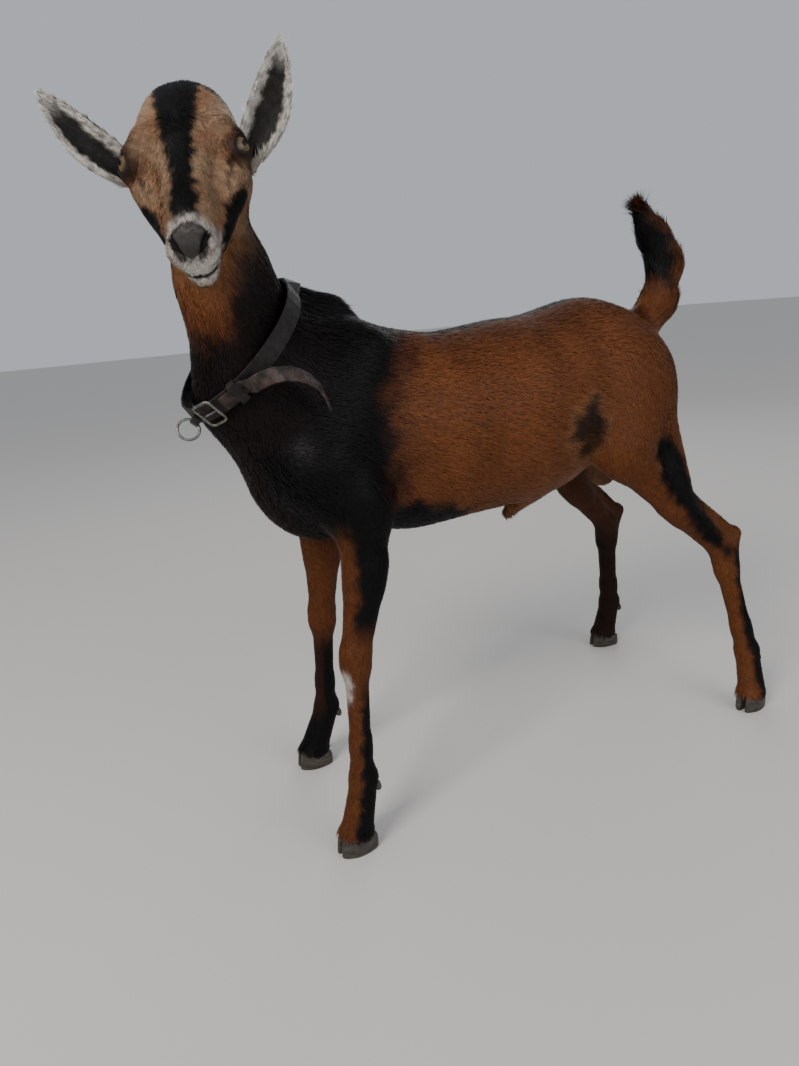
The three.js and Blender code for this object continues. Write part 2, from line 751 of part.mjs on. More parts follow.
// A round wire bent along a closed path of points in a plane.
function wireLoop(frame, path, radius, sides) {
  const count = path.length;
  const rings = path.map((p, i) => {
    const before = path[(i + count - 1) % count];
    const after = path[(i + 1) % count];
    const along = unit(outOf({ ...frame, o: [0, 0, 0] }, [after[0] - before[0], after[1] - before[1], 0]));
    const out = cross(along, frame.w);
    const centre = outOf(frame, [p[0], p[1], 0]);
    const ring = [];
    for (let j = 0; j < sides; j += 1) {
      const a = (2 * Math.PI * j) / sides;
      ring.push(add(centre, add(mul(out, radius * Math.cos(a)), mul(frame.w, radius * Math.sin(a)))));
    }
    return ring;
  });
  return hoop(rings);
}

// The outline of a box with rounded corners, as points [x, y].
function roundedBox(halfX, halfY, corner, steps) {
  const points = [];
  for (const [sx, sy, start] of [[1, 1, 0], [-1, 1, 90], [-1, -1, 180], [1, -1, 270]]) {
    for (let i = 0; i <= steps; i += 1) {
      const a = (start + (90 * i) / steps) * DEG;
      points.push([
        sx * (halfX - corner) + corner * Math.cos(a),
        sy * (halfY - corner) + corner * Math.sin(a),
      ]);
    }
  }
  return points;
}

const BUCKLE_HALF = [11.5, 16];
const buckleFrame = () => {
  const f = strapFrame(BUCKLE_TURN);
  return { ...f, o: add(f.o, mul(f.w, WIRE + 1.4)) };
};
const bucklePath = () => roundedBox(BUCKLE_HALF[0], BUCKLE_HALF[1], 4, 2);

function prong() {
  const f = buckleFrame();
  const reach = BUCKLE_HALF[0] - WIRE - GAP;
  const rings = [-reach, reach * 0.6, reach].map((x, i) => {
    const r = [1.5, 1.4, 0.9][i];
    const ring = [];
    for (let j = 0; j < 8; j += 1) {
      const a = (2 * Math.PI * j) / 8;
      ring.push(outOf(f, [x, r * Math.cos(a), r * Math.sin(a)]));
    }
    return ring;
  });
  return outward(loft(rings));
}

// The loose end lies on the strap under the keeper, then springs away and
// curls down over the shoulder.
const END_THICK = 2.6;
const END_WIDE = 18;
const END_STEPS = 9;
const END_SPINE = [
  [84, -389, 582], [92, -379, 588], [101, -360, 592], [108, -339, 587], [113, -323, 573], [115, -314, 548],
];
const END_ACROSS = [[-0.1, -0.6, 0.78], [-0.85, 0.3, 0.42]];

function looseEnd() {
  const lift = STRAP_THICK + GAP + 0.2;
  const rings = [];
  for (let turn = BUCKLE_TURN + 13; turn <= KEEPER_TURN + 7; turn += 3.5) {
    rings.push(bandSection(turn, lift, lift + END_THICK, END_WIDE));
  }
  const curve = new THREE.CatmullRomCurve3(END_SPINE.map((p) => new THREE.Vector3(...p)));
  for (let i = 0; i <= END_STEPS; i += 1) {
    const t = i / END_STEPS;
    const at = curve.getPoint(t).toArray();
    const along = curve.getTangent(t).toArray();
    const lean = mix(END_ACROSS[0], END_ACROSS[1], t);
    const across = unit(sub(lean, mul(along, dot(lean, along))));
    const out = cross(along, across);
    const half = (END_WIDE / 2) * (i === END_STEPS ? 0.6 : 1);
    const edge = (x, y) => add(at, add(mul(across, x), mul(out, y)));
    const low = [-half, half].map((x) => edge(x, -END_THICK / 2));
    const high = [half, -half].map((x) => edge(x, END_THICK / 2));
    rings.push([...low, ...high]);
  }
  return outward(loft(rings));
}

// A leather bridge over the strap and the loose end.
const KEEPER_LONG = 11;
const KEEPER_THICK = 2;
function keeper() {
  const f = strapFrame(KEEPER_TURN);
  const halfIn = STRAP_WIDE / 2 + GAP;
  const halfOut = halfIn + KEEPER_THICK;
  const roof = END_THICK + 2 * GAP + 1.2;
  const outline = [
    [-halfOut, -STRAP_THICK], [-halfIn, -STRAP_THICK], [-halfIn, roof], [halfIn, roof],
    [halfIn, -STRAP_THICK], [halfOut, -STRAP_THICK],
    [halfOut, roof + KEEPER_THICK], [-halfOut, roof + KEEPER_THICK],
  ];
  const shape = new THREE.Shape(outline.map(([x, y]) => new THREE.Vector2(x, y)));
  const g = new THREE.ExtrudeGeometry(shape, { depth: KEEPER_LONG, bevelEnabled: false });
  g.translate(0, 0, -KEEPER_LONG / 2);
  const m = new THREE.Matrix4().makeBasis(
    new THREE.Vector3(...f.v),
    new THREE.Vector3(...f.w),
    new THREE.Vector3(...f.u),
  );
  m.setPosition(...f.o);
  return g.applyMatrix4(m);
}

// The ring hangs from a small folded tab on the front of the strap.
const RING_LIFT = 3.8;
const RING_HANG = [0.4, 0.2, -0.6];
const RING_FACES = [0.9, -0.35, 0.2];
const RING_SEGMENTS = 18;

function tabFrame() {
  const f = strapFrame(RING_TURN);
  const u = unit(cross(RING_FACES, f.w));
  return { o: add(f.o, mul(f.v, -4)), u, v: cross(f.w, u), w: f.w };
}

function ringFrame() {
  const f = tabFrame();
  const hang = add(f.w, RING_HANG);
  const v = unit(sub(hang, mul(f.u, dot(hang, f.u))));
  return { o: add(f.o, add(mul(f.w, RING_LIFT), mul(v, RING_R))), u: f.u, v, w: cross(f.u, v) };
}

const circle = (radius, count) => Array.from({ length: count }, (_, i) => {
  const a = (2 * Math.PI * i) / count;
  return [radius * Math.cos(a), radius * Math.sin(a)];
});
const collarRing = (wire) => wireLoop(ringFrame(), circle(RING_R, RING_SEGMENTS), wire, 6);

function ringTab() {
  const top = RING_LIFT + WIRE + GAP + 1.6;
  const block = asManifold(boxIn(tabFrame(), [-4.5, -5, -1], [4.5, 5, top]));
  return block.subtract(grownStrap()).subtract(asManifold(collarRing(WIRE + GAP)));
}

// ----------------------------------------------------------------- the goat

const COLORS = {
  coat: 0x7a3d20,
  dark: 0x1c1613,
  ear: 0x9a9188,
  eye: 0x9c7330,
  horn: 0x3b3129,
  leather: 0x3a2c24,
  steel: 0x6b6a68,
};

const goat = new THREE.Group();
goat.name = 'goat';

function put(name, solid, color) {
  const geometry = asGeometry(solid.isBufferGeometry ? asManifold(solid) : solid);
  const material = new THREE.MeshStandardMaterial({ color, roughness: 0.7 });
  const mesh = new THREE.Mesh(geometry, material);
  mesh.name = name;
  goat.add(mesh);
}

function putTrunk() {
  const legs = [FRONT.left, FRONT.right].map(upperForeRegion);
  const hind = [HIND.left, HIND.right].flatMap((leg) => [thighRegion(leg), gaskinRegion(leg)]);
  const cell = [37, 45, 37];
  const fine = [33, 40, 33];
  const thorax = region(WORLD, [-160, -470, 330], [160, -60, 720]);
  const abdomen = region(WORLD, [-160, -60, 340], [160, 110, 700]);
  const pelvis = region(WORLD, [-160, 110, 330], [160, 330, 700]);
  put('thorax', fleshIn(thorax, fine, [NECK_REGION, ...legs]), COLORS.dark);
  put('abdomen', fleshIn(abdomen, cell, [SHEATH_REGION, ...hind]), COLORS.coat);
  put('pelvis', fleshIn(pelvis, cell, [SCROTUM_REGION, TAIL_REGION, ...hind]), COLORS.coat);
  put('tail', fleshIn(TAIL_REGION, [15, 19, 23]), COLORS.coat);
  put('scrotum', fleshIn(SCROTUM_REGION, [17, 20, 18]), COLORS.coat);
  put('sheath', fleshIn(SHEATH_REGION, [12, 18, 12]), COLORS.coat);
}

function putHead() {
  put('neck', fleshIn(NECK_REGION, [28, 31, 34], [HEAD_REGION, JAW_REGION]), COLORS.dark);
  put('lower_jaw', fleshIn(JAW_REGION, [16, 19, 16]), COLORS.coat);
  const sockets = onBoth((side) => [asManifold(ball(eyeCentre(side), EYE_R + GAP, HEAD))]);
  const head = fleshIn(HEAD_REGION, [15.8, 16.6, 15.8], [JAW_REGION]);
  put('head', sockets.reduce((solid, socket) => solid.subtract(socket), head), COLORS.coat);
  const grown = grownIn(HEAD, [-90, -60, -110], [90, 105, 40], [10, 10, 10]);
  for (const name of ['left', 'right']) {
    put(`eye_${name}`, ball(eyeCentre(EARS[name].side), EYE_R, HEAD), COLORS.eye);
    put(`ear_${name}`, asManifold(ear(EARS[name])).subtract(grown), COLORS.ear);
  }
}

function putFoot(prefix, leg) {
  const f = leg.fetlock;
  put(`${prefix}_pastern`, fleshIn(pasternRegion(leg), [13, 13, 22]), COLORS.dark);
  const grown = grownIn(WORLD, add(f, [-36, -36, -50]), add(f, [36, 40, 20]), [11, 11, 12]);
  for (const [word, inner] of [['inner', 1], ['outer', -1]]) {
    put(`${prefix}_claw_${word}`, claw(leg, inner * leg.side), COLORS.horn);
    put(`${prefix}_dewclaw_${word}`, asManifold(dewclaw(leg, inner)).subtract(grown), COLORS.horn);
  }
}

function putForeleg(word, leg) {
  const prefix = `foreleg_${word}`;
  put(`${prefix}_upper`, fleshIn(upperForeRegion(leg), [18, 19, 30]), COLORS.dark);
  const cannon = fleshIn(foreCannonRegion(leg), [11.5, 11.5, 27], [pasternRegion(leg)]);
  put(`${prefix}_cannon`, cannon, COLORS.coat);
  putFoot(prefix, leg);
}

function putHindleg(word, leg) {
  const prefix = `hindleg_${word}`;
  const others = [gaskinRegion(leg), thighRegion(leg), pasternRegion(leg)];
  put(`${prefix}_thigh`, fleshIn(thighRegion(leg), [24, 30, 30], [gaskinRegion(leg)]), COLORS.coat);
  put(`${prefix}_gaskin`, fleshIn(gaskinRegion(leg), [16, 18, 32]), COLORS.coat);
  put(`${prefix}_cannon`, fleshIn(hindCannonRegion(leg), [12.5, 12.5, 28], others), COLORS.dark);
  putFoot(prefix, leg);
}

function putCollar() {
  put('collar_strap', collarStrap(), COLORS.leather);
  put('collar_loose_end', looseEnd(), COLORS.leather);
  put('collar_keeper', keeper(), COLORS.leather);
  put('collar_ring_tab', ringTab(), COLORS.leather);
  put('collar_buckle', wireLoop(buckleFrame(), bucklePath(), WIRE, 6), COLORS.steel);
  put('collar_prong', prong(), COLORS.steel);
  put('collar_ring', collarRing(WIRE), COLORS.steel);
}

putTrunk();
putHead();
putCollar();
putForeleg('left', FRONT.left);
putForeleg('right', FRONT.right);
putHindleg('left', HIND.left);
putHindleg('right', HIND.right);

// Centre the bounding box on the origin, with the soles on z = 0.
const bounds = new THREE.Box3().setFromObject(goat);
const middle = bounds.getCenter(new THREE.Vector3());
for (const mesh of goat.children) {
  mesh.geometry.translate(-middle.x, -middle.y, -bounds.min.z);
}

export default goat;
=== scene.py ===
"""A young hornless goat standing with its head turned, in a leather collar.

The body is one smooth field of tapered limbs and ellipsoids. The skin is the
level of that field that lies inside the solids by the depth of the coat, and
the coat is made of short tapered tufts that lie along it.
Field sizes are in millimetres, in the goat's own frame: it faces -Y, its left
side is +X, and +Z is up. Objects are in metres in the frame of the model.
"""
import math
from functools import partial

import bpy
import numpy as np
from mathutils import Matrix, Vector


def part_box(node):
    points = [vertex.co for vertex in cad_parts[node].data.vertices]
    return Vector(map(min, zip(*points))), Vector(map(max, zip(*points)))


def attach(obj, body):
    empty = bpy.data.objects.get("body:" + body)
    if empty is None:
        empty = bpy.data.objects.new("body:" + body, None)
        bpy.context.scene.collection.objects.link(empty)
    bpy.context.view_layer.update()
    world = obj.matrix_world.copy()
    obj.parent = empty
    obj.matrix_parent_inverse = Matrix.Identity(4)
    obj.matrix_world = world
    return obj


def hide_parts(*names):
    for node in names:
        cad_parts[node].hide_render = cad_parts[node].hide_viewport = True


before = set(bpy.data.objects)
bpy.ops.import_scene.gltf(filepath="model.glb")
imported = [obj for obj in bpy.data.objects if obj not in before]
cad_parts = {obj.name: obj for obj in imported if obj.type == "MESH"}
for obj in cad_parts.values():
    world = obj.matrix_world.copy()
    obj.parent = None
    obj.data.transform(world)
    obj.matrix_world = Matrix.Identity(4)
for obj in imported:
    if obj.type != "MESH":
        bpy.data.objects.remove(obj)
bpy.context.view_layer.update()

MM = 0.001
SEED = 11

# ------------------------------------------------------------------ sizes

# The field is worked out in boxes: the side of a box, how many go along the
# whole grid, and how many sides further than the nearest part still count.
BOX, BOXES, BOX_REACH = 44.0, 128, 2.35
# The net of the skin: the side of a cell, how many make a block, and how many
# blocks away from its middle the surface may run.
CELL, BLOCK, BLOCK_REACH = 5.0, 8, 1.55
SKIN_BOX = (-230, -600, -10), (230, 420, 960)
# How far round the face and round a foot the skin takes its own shape there.
FACE_REACH, FOOT_REACH = 150, 60
# How far the skin lies inside the tips of the coat.
COAT_BODY = 4.2
COAT_FACE = 1.8
COAT_LEG = 2.2
COAT_TAIL, COAT_TAIL_TIP = 10.0, 15.0
# The eyeball's radius, half the length and height of its slit, and its lids.
EYE_R = 14.0
EYE_OPEN = (10.8, 7.9)
LID_THICK = 2.4
EYE_ROWS, EYE_COLS = 72, 96
# The foot and its hair line above the ground, and how the line rises to the toe.
FOOT_TOP = 30
CORONET = 25
CORONET_TILT = 14
# How far one part's colour and coat run over into the next.
ZONE_BLEND = 6.0
# Most tufts in a piece, how thickly they stand, and their patch of the UV map.
PIECE_TUFTS = 62000
TUFT_SCALE = 0.885
EAR_TUFTS = 130.0
PATCH = 0.003
UV_MARGIN, UV_SPAN = 0.01, 0.975
# The skin is painted darker than the hair over it: painted shade down between the tufts.
SKIN_SHADE = 0.85
# The rounding of the collar's edges, in metres.
EDGE_ROUND = 0.0007

# ---------------------------------------------------------------- vectors


def vec(*v):
    """A vector, or a colour."""
    return np.array(v, float)


def unit(v):
    """Vectors brought to a length of 1."""
    v = np.asarray(v, float)
    return v / np.maximum(np.linalg.norm(v, axis=-1, keepdims=True), 1e-9)


def norms(v):
    """The length of each vector."""
    return np.linalg.norm(v, axis=1)


def ramp(x, lo, hi):
    """Rises smoothly from 0 at lo to 1 at hi."""
    t = np.clip((x - lo) / (hi - lo), 0, 1)
    return t * t * (3 - 2 * t)


def mix(a, b, t):
    """The share t of b, and the rest of a."""
    return np.asarray(a, float) * (1 - t) + np.asarray(b, float) * t


def tipped(pitch, yaw):
    """Three axes, tipped about X by pitch degrees and swung about Z by yaw."""
    cp, sp = math.cos(math.radians(pitch)), math.sin(math.radians(pitch))
    cy, sy = math.cos(math.radians(yaw)), math.sin(math.radians(yaw))
    u = vec(cy, sy, 0)
    v = vec(-sy * cp, cy * cp, sp)
    return u, v, np.cross(u, v)


def ripple(p, size, seed=0):
    """Smooth noise between about -1 and 1, with waves about `size` long."""
    rng = np.random.default_rng(seed)
    total = np.zeros(len(p))
    for _ in range(6):
        way = unit(rng.normal(size=3)) * rng.uniform(0.6, 1.7) * 2 * math.pi / size
        total += np.sin(p @ way + rng.uniform(0, 7))
    return total / 3


def from_line(p, points):
    """The distance from points to a path."""
    best = np.full(len(p), np.inf)
    for a, b in zip(np.array(points[:-1], float), np.array(points[1:], float)):
        t = np.clip((p - a) @ (b - a) / ((b - a) @ (b - a)), 0, 1)
        best = np.minimum(best, norms(p - a - t[:, None] * (b - a)))
    return best


# ------------------------------------------------------- pieces of the field


def limb(a, b, ra, rb, melt, flat=1.0, side=(1, 0, 0)):
    """A tapered limb from a to b, thinner by `flat` along `side`."""
    a, b, side = (np.asarray(v, float) for v in (a, b, side))
    axis = b - a
    inv = 1 / (axis @ axis)
    grow = 1 / flat - 1

    def at(p):
        d = p - a
        t = np.clip(d @ axis * inv, 0, 1)
        q = d - t[:, None] * axis
        if grow:
            q += (q @ side * grow)[:, None] * side
        return np.sqrt((q * q).sum(1)) - (ra + (rb - ra) * t)

    return at, melt


def blob(c, radii, melt, axes=np.eye(3)):
    """An ellipsoid with its radii along three axes."""
    c, radii = np.asarray(c, float), np.asarray(radii, float)
    axes = np.asarray(axes, float)

    def at(p):
        q = (p - c) @ axes.T
        k0 = np.sqrt(((q / radii) ** 2).sum(1))
        k1 = np.sqrt(((q / radii ** 2) ** 2).sum(1))
        return k0 * (k0 - 1) / np.maximum(k1, 1e-9)

    return at, melt


def meet(a, b, k):
    """The smooth union of two distances."""
    h = np.clip(0.5 + 0.5 * (b - a) / k, 0, 1)
    return b + (a - b) * h - k * h * (1 - h)


def carve(d, cut, k):
    """d with `cut` taken away, with a soft edge."""
    return -meet(-d, cut, k)


TRUNK = [
    blob((0, -150, 488), (92, 170, 126), 40),
    blob((0, 0, 496), (106, 190, 131), 40),
    blob((0, 134, 537), (86, 124, 108), 40),
    blob((0, 202, 545), (72, 84, 72), 30),
    limb((0, -262, 604), (0, -180, 566), 54, 54, 40, 0.8),
    blob((0, -290, 486), (78, 96, 112), 40),
    limb((0, -252, 654), (0, -292, 668), 22, 17, 24, 0.7),
]


def shoulder(side):
    """The shoulder and the upper arm of one side."""
    return [
        limb((side * 42, -238, 600), (side * 56, -315, 482), 36, 44, 36, 0.8),
        limb((side * 56, -315, 478), (side * 66, -268, 418), 42, 36, 36),
    ]


NECK_LOW, NECK_MID, NECK_TOP = vec(4, -350, 584), vec(28, -385, 690), vec(38, -404, 780)
NECK = [
    limb(NECK_LOW, NECK_MID, 88, 47, 50, 0.78),
    limb(NECK_MID, NECK_TOP, 47, 40, 40, 0.95),
]

# The head frame: rows are the goat's left, up the face, and out of the forehead.
HEAD_AT = vec(97, -435, 824)
HEAD_YAW, HEAD_PITCH, HEAD_ROLL = 69.6, 53, 6.8


def head_axes():
    """The three rows of the head frame."""
    sy, cy = math.sin(math.radians(HEAD_YAW)), math.cos(math.radians(HEAD_YAW))
    sp, cp = math.sin(math.radians(HEAD_PITCH)), math.cos(math.radians(HEAD_PITCH))
    left = vec(cy, sy, 0)
    up = -vec(sy * cp, -cy * cp, -sp)
    out = np.cross(left, up)
    s, c = math.sin(math.radians(HEAD_ROLL)), math.cos(math.radians(HEAD_ROLL))
    u = left * c + out * s
    return np.array([u, up, np.cross(u, up)])


HEAD = head_axes()


def on_head(left, down, out):
    """A point given as left, down the face and out of the forehead."""
    return HEAD_AT + vec(left, -down, out) @ HEAD


def in_head(p):
    """Points as left, down the face and out of the forehead."""
    return ((p - HEAD_AT) @ HEAD.T) * (1, -1, 1)


def head_limb(a, b, ra, rb, melt):
    """A tapered limb in head coordinates."""
    return limb(on_head(*a), on_head(*b), ra, rb, melt)


def head_blob(c, radii, melt):
    """An ellipsoid in head coordinates."""
    return blob(on_head(*c), radii, melt, HEAD)


def half_skull(side):
    """One side of the skull: brow, cheek, jaw and nostril."""
    return [
        head_limb((side * 37, -22, -26), (side * 47, -10, -25), 20, 16, 12),
        head_limb((side * 44, 14, -37), (side * 34, 28, -42), 15, 16, 12),
        head_limb((side * 34, 10, -56), (side * 15, 66, -52), 26, 22, 16),
        head_blob((side * 30, 14, -78), (17, 40, 26), 16),
        head_blob((side * 13, 112, -28), (13, 13, 15), 8),
    ]


SKULL = [
    head_blob((0, -34, -46), (55, 56, 48), 20),
    head_limb((0, -4, -30), (0, 78, -29), 30, 24, 20),
    head_limb((0, 70, -30), (0, 108, -33), 25, 23, 14),
    head_limb((0, 40, -72), (0, 106, -58), 24, 17, 18),
    head_limb((0, -40, -78), (0, 30, -84), 38, 26, 24),
    head_blob((0, -70, -46), (39, 29, 34), 30),
    *half_skull(-1),
    *half_skull(1),
    head_limb((0, 86, -74), (0, 108, -70), 13, 13, 10),
]

TAIL_LINE = [vec(0, 262, 590), vec(0, 303, 630), vec(0, 315, 680), vec(0, 293, 724), vec(0, 270, 754)]
TAIL_R = (30, 32, 34, 28, 17)
TAIL = [
    limb(TAIL_LINE[i], TAIL_LINE[i + 1], TAIL_R[i], TAIL_R[i + 1], 12 if i else 26, 0.72)
    for i in range(4)
]

# Each leg: side, joints from the top down, and how far the toe turns out.
LEGS = {
    "fore_left": (1, vec(78, -262, 402), vec(93, -308, 246), vec(104, -321, 92), vec(110, -342, 0), 4),
    "fore_right": (-1, vec(-80, -258, 400), vec(-94, -271, 238), vec(-105, -278, 92), vec(-110, -305, 0), 4),
    "hind_left": (1, vec(90, 128, 424), vec(116, 310, 258), vec(149, 333, 90), vec(164, 324, 0), 12),
    "hind_right": (-1, vec(-90, 122, 422), vec(-116, 292, 260), vec(-150, 328, 90), vec(-164, 323, 0), 12),
}


def fore_leg(leg):
    """Forearm, knee, cannon, pastern and foot."""
    _, elbow, knee, fetlock, foot, _ = leg
    return [
        limb(elbow + (0, -12, 30), mix(elbow, knee, 0.45), 34, 24, 30, 0.85),
        limb(mix(elbow, knee, 0.3), mix(elbow, knee, 0.92), 28, 19, 14),
        limb(elbow + (0, 2, 10), mix(elbow, knee, 0.4), 20, 16, 18, 0.8),
        blob(knee + (0, -1, -4), (19, 21, 28), 12),
        limb(mix(knee, fetlock, 0.1), mix(knee, fetlock, 0.75), 16, 13.5, 12),
        limb(mix(knee, fetlock, 0.7), fetlock, 13.5, 17, 10),
        limb(fetlock + (0, 2, -2), foot + (0, 4, FOOT_TOP), 18, 21, 10),
        blob(foot + (0, -1, 22), (21.5, 26, 16), 8),
    ]


def hind_leg(leg):
    """Thigh, gaskin, hock, cannon, pastern and foot."""
    side, stifle, hock, fetlock, foot, _ = leg
    hip = vec(side * 62, 186, 510)
    heel = hock + (0, 28, 14)
    return [
        limb(hip, stifle + (0, 16, 12), 74, 50, 36, 0.62),
        limb(hip + (0, 26, -30), mix(stifle, hock, 0.5) + (0, 8, 24), 46, 28, 26, 0.66),
        limb(stifle + (0, 6, 4), mix(stifle, hock, 0.6), 34, 22, 20, 0.85),
        limb(mix(stifle, hock, 0.5), hock, 24, 20, 14, 0.85),
        limb(mix(stifle, hock, 0.5) + (0, 10, 20), heel, 12, 9, 12, 0.8),
        limb(hock, mix(hock, fetlock, 0.2), 21, 18, 12, 0.85),
        limb(heel, mix(hock, fetlock, 0.25), 11, 14, 12),
        limb(mix(hock, fetlock, 0.15), mix(hock, fetlock, 0.8), 17, 15, 12),
        limb(mix(hock, fetlock, 0.75), fetlock, 15, 18, 10),
        limb(fetlock + (0, 1, -2), foot + (0, 4, FOOT_TOP), 18, 21, 10),
        blob(foot + (0, -1, 22), (21.5, 26, 16), 8),
    ]


GROUPS = {
    "trunk": TRUNK + shoulder(-1) + shoulder(1),
    "neck": NECK,
    "head": SKULL,
    "tail": TAIL,
    **{name: (fore_leg if name.startswith("fore") else hind_leg)(leg) for name, leg in LEGS.items()},
    "under": [
        limb((0, 176, 424), (0, 180, 384), 25, 25, 20, 0.85),
        limb((0, 40, 380), (0, -4, 352), 20, 9, 18),
    ],
}
NAMES = list(GROUPS)
PARTS = [part for group in GROUPS.values() for part in group]
MELTS = np.array([melt for _, melt in PARTS], float)


def body(p):
    """The distance field of the whole goat: each box of points asks the parts near it."""
    half = BOXES // 2
    key = np.floor(p / BOX).astype(np.int64) + half
    code = (key[:, 0] * BOXES + key[:, 1]) * BOXES + key[:, 2]
    order = np.argsort(code, kind="stable")
    codes, starts = np.unique(code[order], return_index=True)
    corner = np.stack([codes // BOXES ** 2, codes // BOXES % BOXES, codes % BOXES], 1) - half
    dist = np.stack([at((corner + 0.5) * BOX) for at, _ in PARTS])
    used = dist < dist.min(0) + MELTS[:, None] + BOX_REACH * BOX
    ends = np.append(starts[1:], len(p))
    out = np.empty(len(p))
    for i in range(len(codes)):
        rows = order[starts[i]:ends[i]]
        q = p[rows]
        total = None
        for j in np.flatnonzero(used[:, i]):
            at, melt = PARTS[j]
            d = at(q)
            total = d if total is None else meet(d, total, melt)
        out[rows] = total
    return out


# -------------------------------------------------------------------- skin


def coat_depth(p):
    """How far the skin lies inside the tips of the coat."""
    depth = COAT_LEG + (COAT_BODY - COAT_LEG) * ramp(p[:, 2], 300, 400)
    face = 1 - ramp(norms(p - on_head(0, 10, -50)), 105, 150)
    depth += (COAT_FACE - depth) * face
    tail = ramp(p[:, 1], 262, 292) * ramp(p[:, 2], 622, 660)
    tip = tail * ramp(p[:, 2], 725, 760)
    return depth + (COAT_TAIL - depth) * tail + (COAT_TAIL_TIP - COAT_TAIL) * tip


def eye_axes(side):
    """Along the slit of the eye, across it, and out of it."""
    out = unit(vec(side * 0.80, 0.02, 0.60) @ HEAD)
    along = vec(-side * 0.5, -0.8, 0.2) @ HEAD
    along = unit(along - out * (along @ out))
    return np.array([along, np.cross(out, along), out])


EYE_AT = {side: on_head(side * 50.5, 2, -26) for side in (-1, 1)}


def in_eye(p, side):
    """Points as along the slit of an eye, across it, and out of it."""
    return (p - EYE_AT[side]) @ eye_axes(side).T


def eye_ring(q):
    """1 at the rim of the lids, seen from the middle of the eye, 9 behind it."""
    far = np.maximum(norms(q), 1e-6)
    ring = np.hypot(q[:, 0] / EYE_OPEN[0], q[:, 1] / EYE_OPEN[1]) * EYE_R / far
    return np.where(q[:, 2] > 0, ring, 9)


def with_lids(d, p):
    """Wraps closed lids round each eyeball."""
    for side in EYE_AT:
        d = meet(norms(in_eye(p, side)) - (EYE_R + LID_THICK), d, 4.0)
    return d


def with_face(d, p):
    """Cuts the nostrils, the groove under the nose and the line of the mouth."""
    h = in_head(p)
    h[:, 0] = np.abs(h[:, 0])
    for line, radius in ((NOSTRIL, 3.3), (PHILTRUM, 1.2), (LIP, 1.6)):
        for i in range(len(line) - 1):
            part = from_line(h, line[i:i + 2]) - radius * (1 - 0.2 * i)
            cut = part if i == 0 else np.minimum(cut, part)
        d = carve(d, cut, 1.5)
    return d


def nose_ring(h):
    """1 at the edge of the bare nose, which narrows downward to the lip."""
    along = (h[:, 1] - 111) * 0.75 - (h[:, 2] + 18) * 0.66
    wide = np.interp(along, (-14, -4, 6, 16), (15, 18, 17, 8))
    return np.hypot(h[:, 0] / wide, along / 15.5) + 3 * ramp(-h[:, 2], 44, 56)


FACE_AT = on_head(0, 30, -40)
FEET = [
    (leg[4] + vec(0, 0, CORONET), tipped(-CORONET_TILT, leg[5] * leg[0])[2])
    for leg in LEGS.values()
]


def whole_skin(p):
    """The distance field of the skin, before the feet are cut at the hair line."""
    d = body(p) + coat_depth(p)
    face = norms(p - FACE_AT) < FACE_REACH
    d[face] = with_face(with_lids(d[face], p[face]), p[face])
    return d


def skin(p):
    """The distance field of the skin."""
    d = whole_skin(p)
    for at, up in FEET:
        foot = norms(p - at) < FOOT_REACH
        d[foot] = np.maximum(d[foot], -((p[foot] - at) @ up) + 0.4)
    return d


CORNERS = np.array([[c & 1, c >> 1 & 1, c >> 2 & 1] for c in range(8)])


